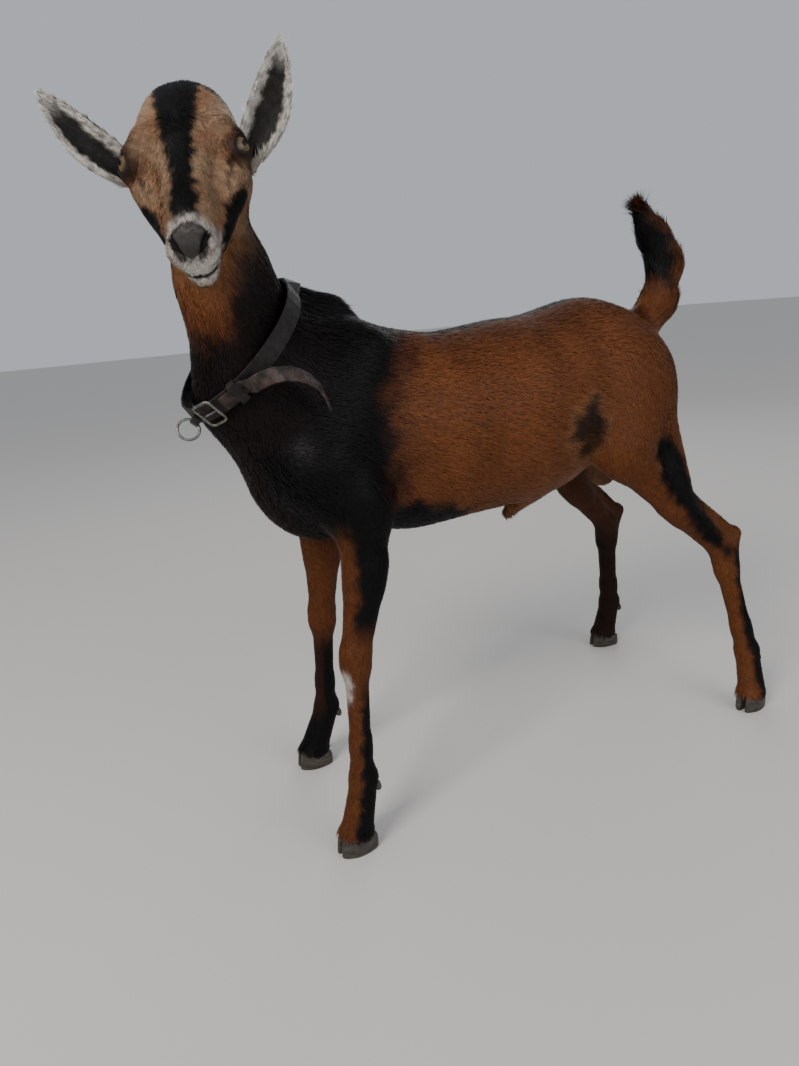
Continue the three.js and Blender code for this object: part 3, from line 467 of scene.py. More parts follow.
def net(field, lo, hi):
    """A closed mesh of the level 0, made on the blocks the surface runs through."""
    n = np.ceil((hi - lo) / (CELL * BLOCK)).astype(int)
    block = np.stack(np.meshgrid(*map(np.arange, n), indexing="ij"), -1).reshape(-1, 3)
    block = block[np.abs(field(lo + (block + 0.5) * CELL * BLOCK)) < CELL * BLOCK * BLOCK_REACH]
    steps = np.stack(np.meshgrid(*[np.arange(BLOCK + 1)] * 3, indexing="ij"), -1)
    points = lo + (block[:, None, None, None] * BLOCK + steps) * CELL
    value = field(points.reshape(-1, 3)).reshape(points.shape[:-1])
    inside = value < 0

    def corner(array, c):
        """One corner of every cell."""
        return array[:, c[0]:c[0] + BLOCK, c[1]:c[1] + BLOCK, c[2]:c[2] + BLOCK]

    # One point for each cell the surface cuts: the mean of its crossings.
    count = sum(corner(inside, c).astype(int) for c in CORNERS)
    cell = np.argwhere((count > 0) & (count < 8))
    b, ijk = cell[:, 0], cell[:, 1:]
    total, number = np.zeros((len(cell), 3)), np.zeros(len(cell))
    for a in CORNERS:
        for axis in np.flatnonzero(a == 0):
            e = a.copy()
            e[axis] = 1
            va, ve = value[(b, *(ijk + a).T)], value[(b, *(ijk + e).T)]
            hit = (va < 0) != (ve < 0)
            t = np.where(hit, va / np.where(hit, va - ve, 1), 0)
            total += np.where(hit[:, None], a + t[:, None] * (e - a), 0)
            number += hit
    whole = block[b] * BLOCK + ijk
    verts = lo + (whole + total / number[:, None]) * CELL
    size = n * BLOCK + 2

    def key(g):
        """A number for each cell."""
        return ((g[:, 0] + 1) * size[1] + g[:, 1] + 1) * size[2] + g[:, 2] + 1

    # The four cells round each crossed edge make a square.
    keys = key(whole)
    order = np.argsort(keys)
    faces = []
    for axis in range(3):
        e1, e2 = np.eye(3, dtype=int)[(axis + 1) % 3], np.eye(3, dtype=int)[(axis + 2) % 3]
        near, far = corner(inside, (0, 0, 0)), corner(inside, np.eye(3, dtype=int)[axis])
        edge = np.argwhere(near != far)
        g = block[edge[:, 0]] * BLOCK + edge[:, 1:]
        quad = []
        for g2 in (g - e1 - e2, g - e2, g, g - e1):
            where = np.minimum(np.searchsorted(keys[order], key(g2)), len(keys) - 1)
            found = order[where]
            quad.append(np.where(keys[found] == key(g2), found, -1))
        quad = np.stack(quad, 1)
        out = near[tuple(edge.T)]
        quad = np.where(out[:, None], quad, quad[:, ::-1])
        quad = quad[(quad >= 0).all(1)]
        faces += [quad[:, [0, 1, 2]], quad[:, [0, 2, 3]]]
    return verts, np.concatenate(faces)


TETRA = np.array([[1, 1, 1], [1, -1, -1], [-1, 1, -1], [-1, -1, 1]], float)


def slope(field, p, step=0.4):
    """The gradient and value of a field, from four points round each point."""
    values = field((p[:, None] + TETRA * step).reshape(-1, 3)).reshape(-1, 4)
    return values @ TETRA / (4 * step), values.mean(1)


def settle(field, p, rounds, most=3.0):
    """Moves points onto the level 0 of a field."""
    for _ in range(rounds):
        g, d = slope(field, p)
        length = np.maximum((g * g).sum(1), 0.15)
        move = g * (d / length)[:, None]
        far = np.linalg.norm(move, axis=1, keepdims=True)
        p = p - move * np.minimum(1, most / np.maximum(far, 1e-9))
    return p


def on_face(*places):
    """Points in head coordinates, moved onto the face."""
    at = np.array([on_head(*place) for place in places])
    return in_head(settle(lambda p: body(p) + coat_depth(p), at, 8))


NOSTRIL = on_face((8, 119, -27), (13, 114, -21), (16, 108, -19))
PHILTRUM = on_face((0, 121, -29), (0, 123, -40), (0, 122, -49))
LIP = on_face((0, 121.5, -52), (12, 116, -53), (20, 104, -56), (25, 92, -60), (27, 84, -62))


# How a face is cut: its corners are 0 to 2, and the middles of its edges 3 to 5.
CUT_THREE = ((0, 3, 5), (3, 1, 4), (5, 4, 2), (3, 4, 5))
CUT_ONE = ((0, 3, 2), (3, 1, 2))
CUT_TWO = ((3, 1, 4), (0, 3, 4), (0, 4, 2))
# The edges halved (1, 2 and 4 added up), the corner to start from, and the cut.
CUTS = (
    (7, 0, CUT_THREE),
    (1, 0, CUT_ONE), (3, 0, CUT_TWO),
    (2, 1, CUT_ONE), (6, 1, CUT_TWO),
    (4, 2, CUT_ONE), (5, 2, CUT_TWO),
)


def refine(verts, faces, chosen):
    """Halves the edges of the chosen faces and closes the faces beside them."""
    n = len(verts)
    edge = np.sort(faces[:, [[0, 1], [1, 2], [2, 0]]], axis=2)
    key = edge[..., 0].astype(np.int64) * n + edge[..., 1]
    marked = np.unique(key[chosen])
    where = np.minimum(np.searchsorted(marked, key), len(marked) - 1)
    code = (marked[where] == key) @ np.array([1, 2, 4])
    verts = np.concatenate([verts, (verts[marked // n] + verts[marked % n]) / 2])
    done = [faces[code == 0]]
    for halved, start, cut in CUTS:
        rows = code == halved
        six = np.concatenate([np.roll(faces[rows], -start, 1), np.roll(n + where[rows], -start, 1)], 1)
        done += [six[:, three] for three in cut]
    return verts, np.concatenate(done)


def open_eyes(verts):
    """Pushes the skin between the lids in behind the front of each eyeball."""
    for side, centre in EYE_AT.items():
        q = in_eye(verts, side)
        near, ring = norms(q), eye_ring(q)
        inside = ramp(1.06 - ring, 0, 0.16) * (near < EYE_R + 14)
        rim = ramp(np.abs(ring - 1.1), 0.18, 0) * (near < EYE_R + 8)
        reach = mix(near + 0.7 * rim, EYE_R - 2.0, inside)
        verts = centre + (verts - centre) * (reach / near)[:, None]
    return verts


def make_body_skin():
    """The skin of the whole body, finer on the head and finest round the eyes."""
    verts, faces = net(skin, *(vec(*corner) for corner in SKIN_BOX))
    verts = settle(skin, verts, 2)
    head = in_head(verts[faces].mean(1))
    chosen = (np.abs(head[:, 0]) < 85) & (head[:, 1] > -120) & (head[:, 2] > -100)
    verts, faces = refine(verts, faces, chosen & (norms(head - (0, 20, -40)) < 130))
    verts = settle(skin, verts, 1, 1.5)
    spots = [(EYE_AT[-1], 24), (EYE_AT[1], 24), (on_head(0, 110, -45), 32)]
    for scale in (1.0, 0.78):
        middle = verts[faces].mean(1)
        chosen = np.any([norms(middle - centre) < radius * scale for centre, radius in spots], axis=0)
        verts, faces = refine(verts, faces, chosen)
        verts = settle(skin, verts, 2, 0.8)
    return open_eyes(verts), faces


def facing_out(verts, faces):
    """Turns the faces of a closed mesh over if they face inward."""
    t = verts[faces]
    volume = np.einsum("ij,ij->i", t[:, 0], np.cross(t[:, 1], t[:, 2])).sum()
    return faces if volume > 0 else faces[:, ::-1]


def between_rings(count, n):
    """The faces between rings of n points, two to a square."""
    a = (np.arange(count - 1)[:, None] * n + np.arange(n)).ravel()
    b = (np.arange(count - 1)[:, None] * n + (np.arange(n) + 1) % n).ravel()
    return np.stack([a, b, b + n, a, b + n, a + n], 1).reshape(-1, 3)


def closed_rings(rings, ends=None):
    """Joins rings of points into one mesh, closed at the ends given or at their middles."""
    count, n = rings.shape[:2]
    ends = rings[[0, -1]].mean(1) if ends is None else ends
    around = np.arange(n)
    after = (around + 1) % n
    first, last = np.full(n, count * n), np.full(n, count * n + 1)
    top = (count - 1) * n
    caps = [np.stack((after, around, first), 1), np.stack((around + top, after + top, last), 1)]
    verts = np.concatenate([rings.reshape(-1, 3), ends])
    return verts, facing_out(verts, np.concatenate([between_rings(count, n), *caps]))


# -------------------------------------------------------------------- ears

# Half the width, the thickness at the root, and how far the ear bows sideways.
EAR_HALF = 22.0
EAR_THICK = 3.6
EAR_BULGE = 9.0
# Where the ear's first row lies along its length, and how far the rows run.
EAR_START, EAR_RUN = 0.04, 0.955
# How far the skin lies inside the coat, and how much of the width it fills.
EAR_COAT = 0.9
EAR_OUTER, EAR_INNER = 0.98, 0.96
EARS = {
    1: {"root": on_head(46, -8, -66), "tip": vec(108, -322, 910), "mouth": vec(0.9, -0.42, 0)},
    -1: {"root": on_head(-46, -8, -66), "tip": vec(26, -541, 874), "mouth": vec(0.95, 0.1, 0.1)},
}
EAR_ROWS, EAR_COLS = 44, 18


def ear_points(side, s, across, depth):
    """A row of the ear: s from root to tip, places across it, and depth from its back."""
    ear = EARS[side]
    reach = unit(ear["tip"] - ear["root"])
    opening = unit(ear["mouth"] - reach * (ear["mouth"] @ reach))
    wide = np.cross(reach, opening)
    blade = EAR_HALF * max(1 - abs((s - 0.47) / 0.54) ** 1.9, 0) ** 0.8
    stem = EAR_HALF * 0.62 * (1 - min(max((s - 0.2) / 0.4, 0), 1))
    half = max(blade, stem, 1.0)
    roll = 1.55 - 0.75 * min(s / 0.6, 1)
    radius = half / math.sin(min(roll, math.pi / 2))
    r = max(radius - depth, 0.6)
    a = (across * roll)[:, None]
    bow = math.sin(math.pi * s)
    spine = ear["root"] + (ear["tip"] - ear["root"]) * s
    spine = spine - opening * 5 * bow + wide * side * EAR_BULGE * bow
    return spine + wide * r * np.sin(a) + opening * (radius - r * np.cos(a))


def make_ear(side):
    """A closed curled sheet, and for each point its s, whether it lies inside, and its place across."""
    across = 2 * np.arange(EAR_COLS + 1) / EAR_COLS - 1
    verts, place = [], []
    for i in range(EAR_ROWS + 1):
        s = EAR_START + EAR_RUN * i / EAR_ROWS
        deep = EAR_COAT + EAR_THICK * (1 - 0.55 * s)
        for inner, row, depth in ((0, EAR_OUTER * across, EAR_COAT), (1, EAR_INNER * across[::-1], deep)):
            verts.append(ear_points(side, s, row, depth))
            place.append(np.stack([np.full(len(row), s), np.full(len(row), inner), row], 1))
    ring = 2 * (EAR_COLS + 1)
    j = np.arange(EAR_COLS)
    cap = np.stack([j, j + 1, ring - 2 - j, ring - 1 - j], 1)
    squares = np.concatenate([cap[:, ::-1], cap + EAR_ROWS * ring])
    halves = squares[:, [0, 1, 2, 0, 2, 3]].reshape(-1, 3)
    verts = np.concatenate(verts)
    faces = facing_out(verts, np.concatenate([between_rings(EAR_ROWS + 1, ring), halves]))
    return verts, faces, np.concatenate(place)


# ---------------------------------------------------------------- markings and painted shade

BLACK = vec(0.0036, 0.0032, 0.0034)
RUST = vec(0.128, 0.041, 0.0135)
DARK_RUST = vec(0.048, 0.0165, 0.0078)
TAN = vec(0.30, 0.145, 0.066)
FACE_TAN = vec(0.28, 0.180, 0.110)
WHITE = vec(0.70, 0.66, 0.60)
GREY = vec(0.16, 0.145, 0.13)
LEATHERY = vec(0.034, 0.030, 0.029)
LID = vec(0.020, 0.013, 0.010)


def painted(p, base, *layers):
    """A base colour at the points p, and over it layers: each a colour and how much of it."""
    colour = np.broadcast_to(base, (len(p), 3))
    for new, share in layers:
        colour = colour + (new - colour) * share[:, None]
    return colour


def trunk_colour(p, normal):
    """Black as far back as a slanting edge behind the shoulder, rust behind it, and painted shade at the
    flank fold.
    """
    x, y, z = p.T
    up = normal[:, 2]
    rough = ripple(p, 60, 1) * 7 + ripple(p, 17, 2) * 4
    edge = -167 - np.clip(660 - z, 0, 100) * 0.68 - np.clip(560 - z, 0, 130) * 0.08
    # An oval in front of the stifle: painted shade of the flank fold, with a paler ring round it as a painted
    # highlight.
    painted_fold_oval = np.sqrt(((y - 66) / 29) ** 2 + ((z - 480) / 31) ** 2) + rough * 0.05
    flank = ramp(np.abs(x), 50, 75)
    chest = ramp(-y - 322 + rough, -8, 18) * ramp(np.abs(x), 46, 14) * ramp(z, 560, 480)
    return painted(
        p, RUST,
        (RUST * 1.25, 0.5 + 0.5 * np.clip(ripple(p, 90, 3), -1, 1)),
        (DARK_RUST, 0.55 * ramp(up, 0.45, 1.0)),
        (TAN * 0.8, 0.5 * ramp(-up, 0.4, 1) * ramp(y, -60, 60)),
        (DARK_RUST, 0.85 * ramp(edge - y + rough * 1.5, -62, 2)),
        (BLACK, ramp(edge - y + rough * 1.3, -22, 14)),
        (BLACK, ramp(392 + (-113 - y) * 0.27 - z + rough, -8, 8) * ramp(-108 - y + rough, -10, 14)),
        (BLACK, 0.9 * ramp(15 - np.abs(x) + rough * 0.6, -6, 8) * ramp(up, 0.5, 0.8)),
        # The painted highlight round the flank fold, then the fold's painted shade.
        (TAN * 0.8, 0.5 * ramp(1.8 - painted_fold_oval, 0, 0.6) * flank),
        (BLACK, 0.88 * ramp(1.2 - painted_fold_oval, -0.3, 0.6) * flank),
        (DARK_RUST, 0.15 * chest),
    )


def neck_colour(p, normal):
    """Rust on the throat, black on the crest and over the base of the neck."""
    z = p[:, 2]
    rough = ripple(p, 45, 4) * 8 + ripple(p, 13, 5) * 5
    line = NECK_TOP - NECK_LOW
    t = np.clip((p - NECK_LOW) @ line / (line @ line), 0, 1)
    crest = (p - (NECK_LOW + t[:, None] * line)) @ unit(vec(-0.25, 0.93, 0.26))
    edge = 636 + np.clip(crest + 45, 0, 60) * 1.5 - z + rough
    return painted(
        p, RUST * 0.95,
        (TAN * 0.75, 0.5 * ramp(-crest, 10, 40) * ramp(z, 660, 740)),
        (DARK_RUST, 0.8 * ramp(crest + rough, -40, -10)),
        (DARK_RUST, 0.85 * ramp(edge, -34, 0)),
        (BLACK, ramp(crest + 26 * ramp(z, 740, 660) + rough, -14, 8)),
        (mix(BLACK, DARK_RUST, 0.08), ramp(edge, -16, 10)),
    )


# How far down the face, and half the width of the black blaze there.
BLAZE = [(-130, 40), (-93, 29), (-36, 17), (2, 14), (32, 9), (58, 11), (82, 13), (104, 12)]


def head_colour(p, normal):
    """Tan cheeks, a black blaze and nape, dark round the eyes, a white muzzle and lips, and painted shade in
    nostrils and mouth.
    """
    h = in_head(p)
    left, down, out = h.T
    wide = np.abs(left)
    rough = ripple(p, 14, 6) * 2.0 + ripple(p, 5, 7) * 1.1
    blaze = ramp(np.interp(down, *zip(*BLAZE)) - wide + rough, -2.5, 3.0)
    rim = ramp(-down - 80 + 0.4 * np.clip(left, 0, 50) + rough, -6, 8) * ramp(wide, 60, 46)
    nape = ramp(-out + rough, 56, 76) * ramp(-down, 10, 40) * ramp(wide + rough, 44, 30)
    spot = from_line(h[:, 1:], [(38, -43), (62, -43), (84, -48)])
    layers = [
        (RUST * 1.4, 0.45 * np.clip(0.5 + ripple(p, 40, 8), 0, 1)),
        (RUST, ramp(-out, 52, 84) * ramp(down, 40, -30)),
        (TAN, 0.7 * ramp(down, 20, 70) * ramp(-out, 10, 30)),
        (BLACK, blaze * np.maximum(ramp(out, -62, -40), ramp(-down, 70, 95))),
        (BLACK, rim),
        (BLACK, nape),
        (BLACK, ramp(10 - spot + rough * 1.2, -3, 3) * ramp(wide, 10, 18)),
    ]
    for side in EYE_AT:
        q = in_eye(p, side)
        ring = eye_ring(q)
        near = (norms(q) < 34) & (q[:, 2] > -4)
        tear = from_line(h, [(side * 46, 15, -20), (side * 38, 31, -24)])
        layers += [
            (DARK_RUST * 0.6, near * ramp(1.6 - ring + rough * 0.05, -0.3, 0.3) * 0.85),
            (LID, near * ramp(1.24 - ring, -0.08, 0.10)),
            (DARK_RUST * 0.5, 0.8 * ramp(4.5 - tear + rough, -2, 3)),
        ]
    nose = nose_ring(h)
    frost = np.clip(0.72 + 0.6 * ripple(p, 2.6, 9) + 0.35 * ripple(p, 8, 10), 0, 1)
    muzzle = ramp(down - 90 + rough * 2.4, -4, 9) * ramp(-out, 18, 30)
    muzzle = np.maximum(muzzle, 0.8 * ramp(1.6 - nose + rough * 0.06, -0.2, 0.3))
    lips = ramp(down - 92 - (out + 47) * 0.4 + rough, -5, 7) * ramp(-out, 26, 36)
    half = np.stack([wide, down, out], 1)
    return painted(
        p, FACE_TAN, *layers,
        (GREY, muzzle * 0.8),
        (WHITE, muzzle * frost * ramp(nose, 0.95, 1.25)),
        (WHITE, 0.85 * lips * ramp(-out, 72, 62)),
        (LEATHERY, ramp(1.1 - nose, -0.06, 0.10)),
        (GREY, 0.35 * ramp(1.0 - nose, 0, 0.2) * ramp(111 - down, -2, 8) * frost),
        # Painted shade inside the nostrils, and painted shade along the crease of the mouth line.
        (BLACK * 0.6, ramp(3.6 - from_line(half, NOSTRIL), -0.8, 0.8)),
        (LEATHERY * 0.6, ramp(3.6 - from_line(half, LIP), -1.0, 1.2)),
        (TAN * 1.1, 0.5 * ramp(-out, 60, 72) * ramp(down, 70, 84)),
        (WHITE, ramp(1.6 - norms(h - (4, -2, 2)), -0.6, 0.6)),
    )


def tail_colour(p, normal):
    """Rust, darker to the tip, with a black front."""
    rough = ripple(p, 26, 12) * 4
    high = p[:, 2] + rough
    front = ramp(-normal[:, 1] + rough * 0.05, -0.35, 0.3)
    return painted(
        p, RUST,
        (DARK_RUST, 0.6 * ramp(high, 690, 750)),
        (BLACK, front * ramp(high, 616, 652)),
    )


def fore_colour(p, normal, leg):
    """Black outside and behind; the left knee has a white spot, the right leg a brown front."""
    side = leg[0]
    z = p[:, 2]
    outer, rear = normal[:, 0] * side, normal[:, 1]
    rough = ripple(p, 22, 13) * 3.5
    if side < 0:
        front = ramp(-rear, 0.3, 0.75) * ramp(z, 70, 110)
        return painted(
            p, RUST * 0.9,
            (BLACK, ramp(outer + rear * 0.5 + rough * 0.06, 0.2, 0.6) * ramp(z, 250, 300)),
            (DARK_RUST, ramp(z, 240, 180)),
            (BLACK, ramp(206 - z + rough * 2, -26, 26) * (1 - 0.55 * front)),
        )
    low = rear + outer * 0.7 + rough * 0.06 - np.interp(z, (60, 190), (-0.2, 0.3))
    spot = norms((p - (99, -336, 217)) / (17, 15, 22)) + rough * 0.05
    return painted(
        p, RUST * 0.9,
        (BLACK, ramp(outer * 0.8 + rear * 0.75 + rough * 0.06, -0.25, 0.3) * ramp(z, 262, 300)),
        (BLACK, ramp(z + rough, 392, 424) * ramp(outer, -0.9, -0.2)),
        (BLACK, ramp(low, 0, 0.35) * ramp(z, 232, 190)),
        (WHITE * 0.85, 0.92 * ramp(1.1 - spot, -0.2, 0.3)),
        (BLACK, 0.8 * ramp(66 - z + rough * 2, -10, 12) * ramp(rear, -0.7, 0.0)),
    )


def hind_colour(p, normal, leg):
    """Rust, with a black stripe down the gaskin and black behind the cannon."""
    side, _, hock, fetlock, _, _ = leg
    x, y, z = p.T
    outer, rear = normal[:, 0] * side, normal[:, 1]
    rough = ripple(p, 34, 14) * 5 + ripple(p, 12, 15) * 2.5
    stripe = from_line(p[:, 1:], [(204, 425), (214, 376), (241, 337), (268, 296), (305, 254)])
    wide = np.interp(z, [254, 296, 337, 376, 425], [3, 12, 19, 27, 23])
    behind = y - np.interp(z, [fetlock[2], hock[2]], [fetlock[1], hock[1]])
    behind += np.interp(z, (60, 150, 230), (9, 7, -2))
    back = ramp(behind + rough * 0.5 + outer * 4, 0, 8)
    middle = mix(hock, fetlock, 0.5)[0] * side
    layers = [
        (TAN * 0.85, 0.55 * ramp(rear, 0.1, 0.7) * ramp(z, 480, 380)),
        (BLACK, ramp(wide - stripe + rough, -8, 7) * ramp(outer, -0.5, 0.0)),
        (BLACK, ramp(262 - z + rough, -12, 14) * back * ramp(x * side, middle - 60, middle - 40)),
        (BLACK, 0.75 * ramp(64 - z + rough, -10, 12) * ramp(rear, -0.5, 0.3)),
    ]
    if side < 0:
        layers += [
            (DARK_RUST, 0.8 * ramp(400 - z + rough, -60, 40)),
            (BLACK, 0.75 * ramp(250 - z + rough, -40, 40)),
        ]
    return painted(p, RUST, *layers)


def ear_colour(place, p):
    """White speckle outside and along the rim, black down the middle inside."""
    s, inner, across = place.T
    rim = np.abs(across) + 0.10 * ripple(p, 11, 18)
    return painted(
        p, GREY,
        (WHITE, np.clip(0.62 + 0.42 * ripple(p, 4.5, 16) + 0.25 * ripple(p, 15, 17), 0, 1)),
        (BLACK, inner * ramp(0.60 - rim, -0.10, 0.12) * ramp(0.86 - s, -0.10, 0.1) * 0.97),
        (FACE_TAN * 0.8, 0.6 * (1 - inner) * ramp(0.16 - s, -0.06, 0.08)),
    )


COLOURS = {
    "trunk": trunk_colour,
    "neck": neck_colour,
    "head": head_colour,
    "tail": tail_colour,
    "under": lambda p, normal: painted(p, mix(TAN, BLACK, 0.45)),
    **{name: partial(fore_colour if name.startswith("fore") else hind_colour, leg=leg)
       for name, leg in LEGS.items()},
}


def zone_weights(p):
    """How much each part of the body holds each point: one column a group."""
    near = np.stack([np.min([at(p) for at, _ in GROUPS[name]], axis=0) for name in NAMES], 1)
    weight = np.exp(-(near - near.min(1, keepdims=True)) / ZONE_BLEND)
    return weight / weight.sum(1, keepdims=True)


def coat_colour(p, normal, weight):
    """The markings and painted shade, the same for the skin and the coat."""
    return sum(weight[:, [i]] * COLOURS[name](p, normal) for i, name in enumerate(NAMES))


# ---------------------------------------------------------- lie of the coat


def lie_of_coat(p, weight):
    """The way the coat lies, before it is laid flat on the skin."""
    n = len(p)
    left, down, _ = in_head(p).T
    back = ramp(np.abs(left), 18, 46)
    face = np.stack([np.sign(left) * (0.35 + 0.2 * back), -np.tanh((down + 30) / 14), -0.35 * back - 0.25], 1)
    rise = np.interp(p[:, 2], np.array(TAIL_LINE)[:, 2], [0.75, 0.45, -0.15, -0.48, -0.6])
    leg = np.tile(vec(0, 0.14, -1), (n, 1))
    ways = {
        "trunk": np.stack([np.sign(p[:, 0]) * 0.05, np.full(n, 0.92), np.full(n, -0.42)], 1),
        "neck": np.tile(unit(NECK_LOW - NECK_TOP) + (0, 0.15, 0), (n, 1)),
        "head": face @ HEAD,
        "tail": np.stack([np.zeros(n), rise, np.full(n, 0.9)], 1),
    }
    return sum(weight[:, [i]] * ways.get(name, leg) for i, name in enumerate(NAMES))


# Tuft length, width, lift of the tip and number to the square centimetre.
TUFT = {
    "trunk": (15.0, 1.35, 1.0, 42),
    "neck": (15.0, 1.25, 1.0, 46),
    "head": (7.5, 0.75, 0.9, 120),
    "tail": (30.0, 1.3, 1.0, 60),
    "fore_left": (8.5, 0.8, 0.8, 88),
    "fore_right": (8.5, 0.8, 0.8, 88),
    "hind_left": (9.5, 0.85, 0.8, 80),
    "hind_right": (9.5, 0.85, 0.8, 80),
    "under": (12.0, 1.1, 1.0, 50),
}


def tuft_sizes(p, weight):
    """Length, width, lift and number of the tufts at each point of the skin."""
    size = weight @ np.array([TUFT[name] for name in NAMES], float)
    head, trunk = (weight[:, NAMES.index(name)] for name in ("head", "trunk"))
    h = in_head(p)
    small = head * ramp(h[:, 1], 40, 100)
    poll = head * ramp(-h[:, 1], 62, 92)
    chin = head * ramp(h[:, 1], 70, 90) * ramp(-h[:, 2], 72, 84)
    crest = trunk * ramp(-np.abs(p[:, 0]), -26, -8) * ramp(p[:, 2], 630, 655)
    size[:, 0] *= (1 - 0.45 * small) * (1 + 1.5 * poll) * (1 + 1.6 * chin) * (1 + 0.7 * crest)
    size[:, 1] *= 1 - 0.35 * small
    size[:, 2] *= 1 + 3.0 * poll
    lip = from_line(np.abs(h) * (1, 1, -1), LIP)
    bare = np.maximum(ramp(1.12 - nose_ring(h), 0, 0.1), ramp(2.9 - lip, 0, 0.6))
    size[:, 3] *= 1 - bare * (head > 0.3)
    for at, up in FEET:
        over = (p - at) @ up
        near = norms(p - at) < 50
        size[:, 0] *= 1 + 0.5 * near * ramp(-over, -20, 0)
        size[near & (over < 1.5), 3] = 0
    for side in EYE_AT:
        q = in_eye(p, side)
        near = norms(q)
        size[(near < 30) & (q[:, 2] > 0) & (eye_ring(q) < 1.16), 3] = 0
        size[(near < 36) & (q[:, 2] > -6), 0] *= 0.6
    return size


def vertex_normals(verts, faces):
    """Normals at the points, by the areas of the faces round them."""
    t = verts[faces]
    n = np.cross(t[:, 1] - t[:, 0], t[:, 2] - t[:, 0])
    total = np.zeros_like(verts)
    for k in range(3):
        for axis in range(3):
            total[:, axis] += np.bincount(faces[:, k], n[:, axis], len(verts))
    return unit(total)


def smoothed(values, faces, rounds):
    """Averages a value at each point with its neighbours' values."""
    edge = np.concatenate([faces[:, [0, 1]], faces[:, [1, 2]], faces[:, [2, 0]]])
    n = len(values)
    count = np.bincount(edge[:, 0], minlength=n) + 1.0
    for _ in range(rounds):
        total = values.copy()
        for axis in range(values.shape[1]):
            total[:, axis] += np.bincount(edge[:, 0], values[edge[:, 1], axis], n)
        values = total / count[:, None]
    return values


def sow(verts, faces, density, rng):
    """Strews roots over the faces: the face of each, and a way to carry values to them."""
    t = verts[faces]
    area = np.linalg.norm(np.cross(t[:, 1] - t[:, 0], t[:, 2] - t[:, 0]), axis=1) / 200
    want = area * density[faces].mean(1)
    number = np.floor(want + rng.random(len(want))).astype(int)
    face = np.repeat(np.arange(len(faces)), number)
    a = rng.random((len(face), 2))
    flip = a.sum(1) > 1
    a[flip] = 1 - a[flip]
    share = np.stack([1 - a.sum(1), a[:, 0], a[:, 1]], 1)

    def at_roots(values):
        return np.einsum("ij,ijk->ik", share, values[faces[face]])

    return face, at_roots


# A blade has two points at its root, two at its middle and one at its tip.
BLADE = np.array([[0, 2, 1], [0, 3, 2], [3, 4, 2]])
BLADE_UV = np.array([[0.1, 0.0], [0.9, 0.0], [0.8, 0.5], [0.2, 0.5], [0.5, 1.0]])
# Painted shade along each blade's five points: darkest at the root and lightest at the tip, for the depth of
# the coat.
BLADE_SHADE = np.array([0.74, 0.74, 0.97, 0.97, 1.14])
MIDDLE_WIDTH, MIDDLE_LIFT = 0.8, 0.62


def tufts(root, normal, way, size, colour, depth, rng, hug=None):
    """Tapered blades, held to the surface of the field `hug` if one is given."""
    n = len(root)
    normal = unit(normal)
    way = unit(way - normal * (way * normal).sum(1, keepdims=True))
    side = np.cross(normal, way)
    swirl = 0.22 * ripple(root, 26, 20) + 0.30 * ripple(root, 7, 21) + rng.normal(0, 0.13, n)
    cos, sin = np.cos(swirl)[:, None], np.sin(swirl)[:, None]
    way, side = way * cos + side * sin, side * cos - way * sin
    roll = rng.normal(0, 0.28, n)[:, None]
    length = (size[:, 0] * rng.uniform(0.72, 1.25, n))[:, None]
    width = (size[:, 1] * rng.uniform(0.75, 1.25, n))[:, None] / 2
    tip_lift = (depth * size[:, 2] * rng.uniform(0.45, 1.0, n))[:, None]
    half = (side * np.cos(roll) + normal * np.sin(roll)) * width
    base = root - normal * 0.5
    middle = root + way * length * 0.5 + normal * tip_lift * MIDDLE_LIFT
    tip = root + way * length + normal * tip_lift
    if hug is not None:
        for point, lift in ((middle, tip_lift * MIDDLE_LIFT), (tip, tip_lift)):
            point -= normal * np.clip(hug(point)[:, None] - lift, -6, 12)
    bent = half * MIDDLE_WIDTH
    points = np.stack([base - half, base + half, middle + bent, middle - bent, tip], 1)
    shade = rng.normal(1.0, 0.13, n) * (1 + 0.10 * ripple(root, 11, 22))
    # Each blade's random tone, times the painted shade from its root to its tip.
    tint = colour[:, None] * np.clip(shade, 0.55, 1.6)[:, None, None] * BLADE_SHADE[:, None]
    return points, tint, np.repeat(normal[:, None], 5, 1)


# --------------------------------------------------------------- Blender side

LEFT_EYE = (sum(np.array(c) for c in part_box("eye_left")) / 2) / MM
SHIFT = LEFT_EYE - EYE_AT[1]


def placed(p):
    """Field millimetres to metres in the frame of the model."""
    return (p + SHIFT) * MM


def new_object(name, data):
    """Adds an object to the scene."""
    thing = bpy.data.objects.new(name, data)
    bpy.context.scene.collection.objects.link(thing)
    return thing


def new_piece(name, mesh, material, nodes=()):
    """A piece of the goat, in place of the nodes given."""
    piece = new_object(name, mesh)
    mesh.materials.append(material)
    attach(piece, "root")
    if nodes:
        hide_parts(*nodes)


def new_mesh(name, verts, faces, colour=None, normals=None, patches=None):
    """A smooth triangle mesh in metres, with a colour, normals and a UV map."""
    mesh = bpy.data.meshes.new(name)
    mesh.vertices.add(len(verts))
    mesh.vertices.foreach_set("co", placed(verts).astype(np.float32).ravel())
    mesh.loops.add(faces.size)
    mesh.loops.foreach_set("vertex_index", faces.astype(np.int32).ravel())
    mesh.polygons.add(len(faces))
    mesh.polygons.foreach_set("loop_start", np.arange(0, faces.size, 3, dtype=np.int32))
    mesh.polygons.foreach_set("use_smooth", np.ones(len(faces), bool))
    mesh.update(calc_edges=True)
    if colour is not None:
        layer = mesh.color_attributes.new("coat", "FLOAT_COLOR", "POINT")
        rgba = np.concatenate([np.clip(colour, 0, 1), np.ones((len(colour), 1))], 1)
        layer.data.foreach_set("color", rgba.astype(np.float32).ravel())
    if patches is not None:
        layer = mesh.uv_layers.new(name="OFBake")
        layer.data.foreach_set("uv", patches.astype(np.float32).ravel())
    if normals is not None:
        mesh.normals_split_custom_set_from_vertices(normals.astype(np.float32))
    return mesh


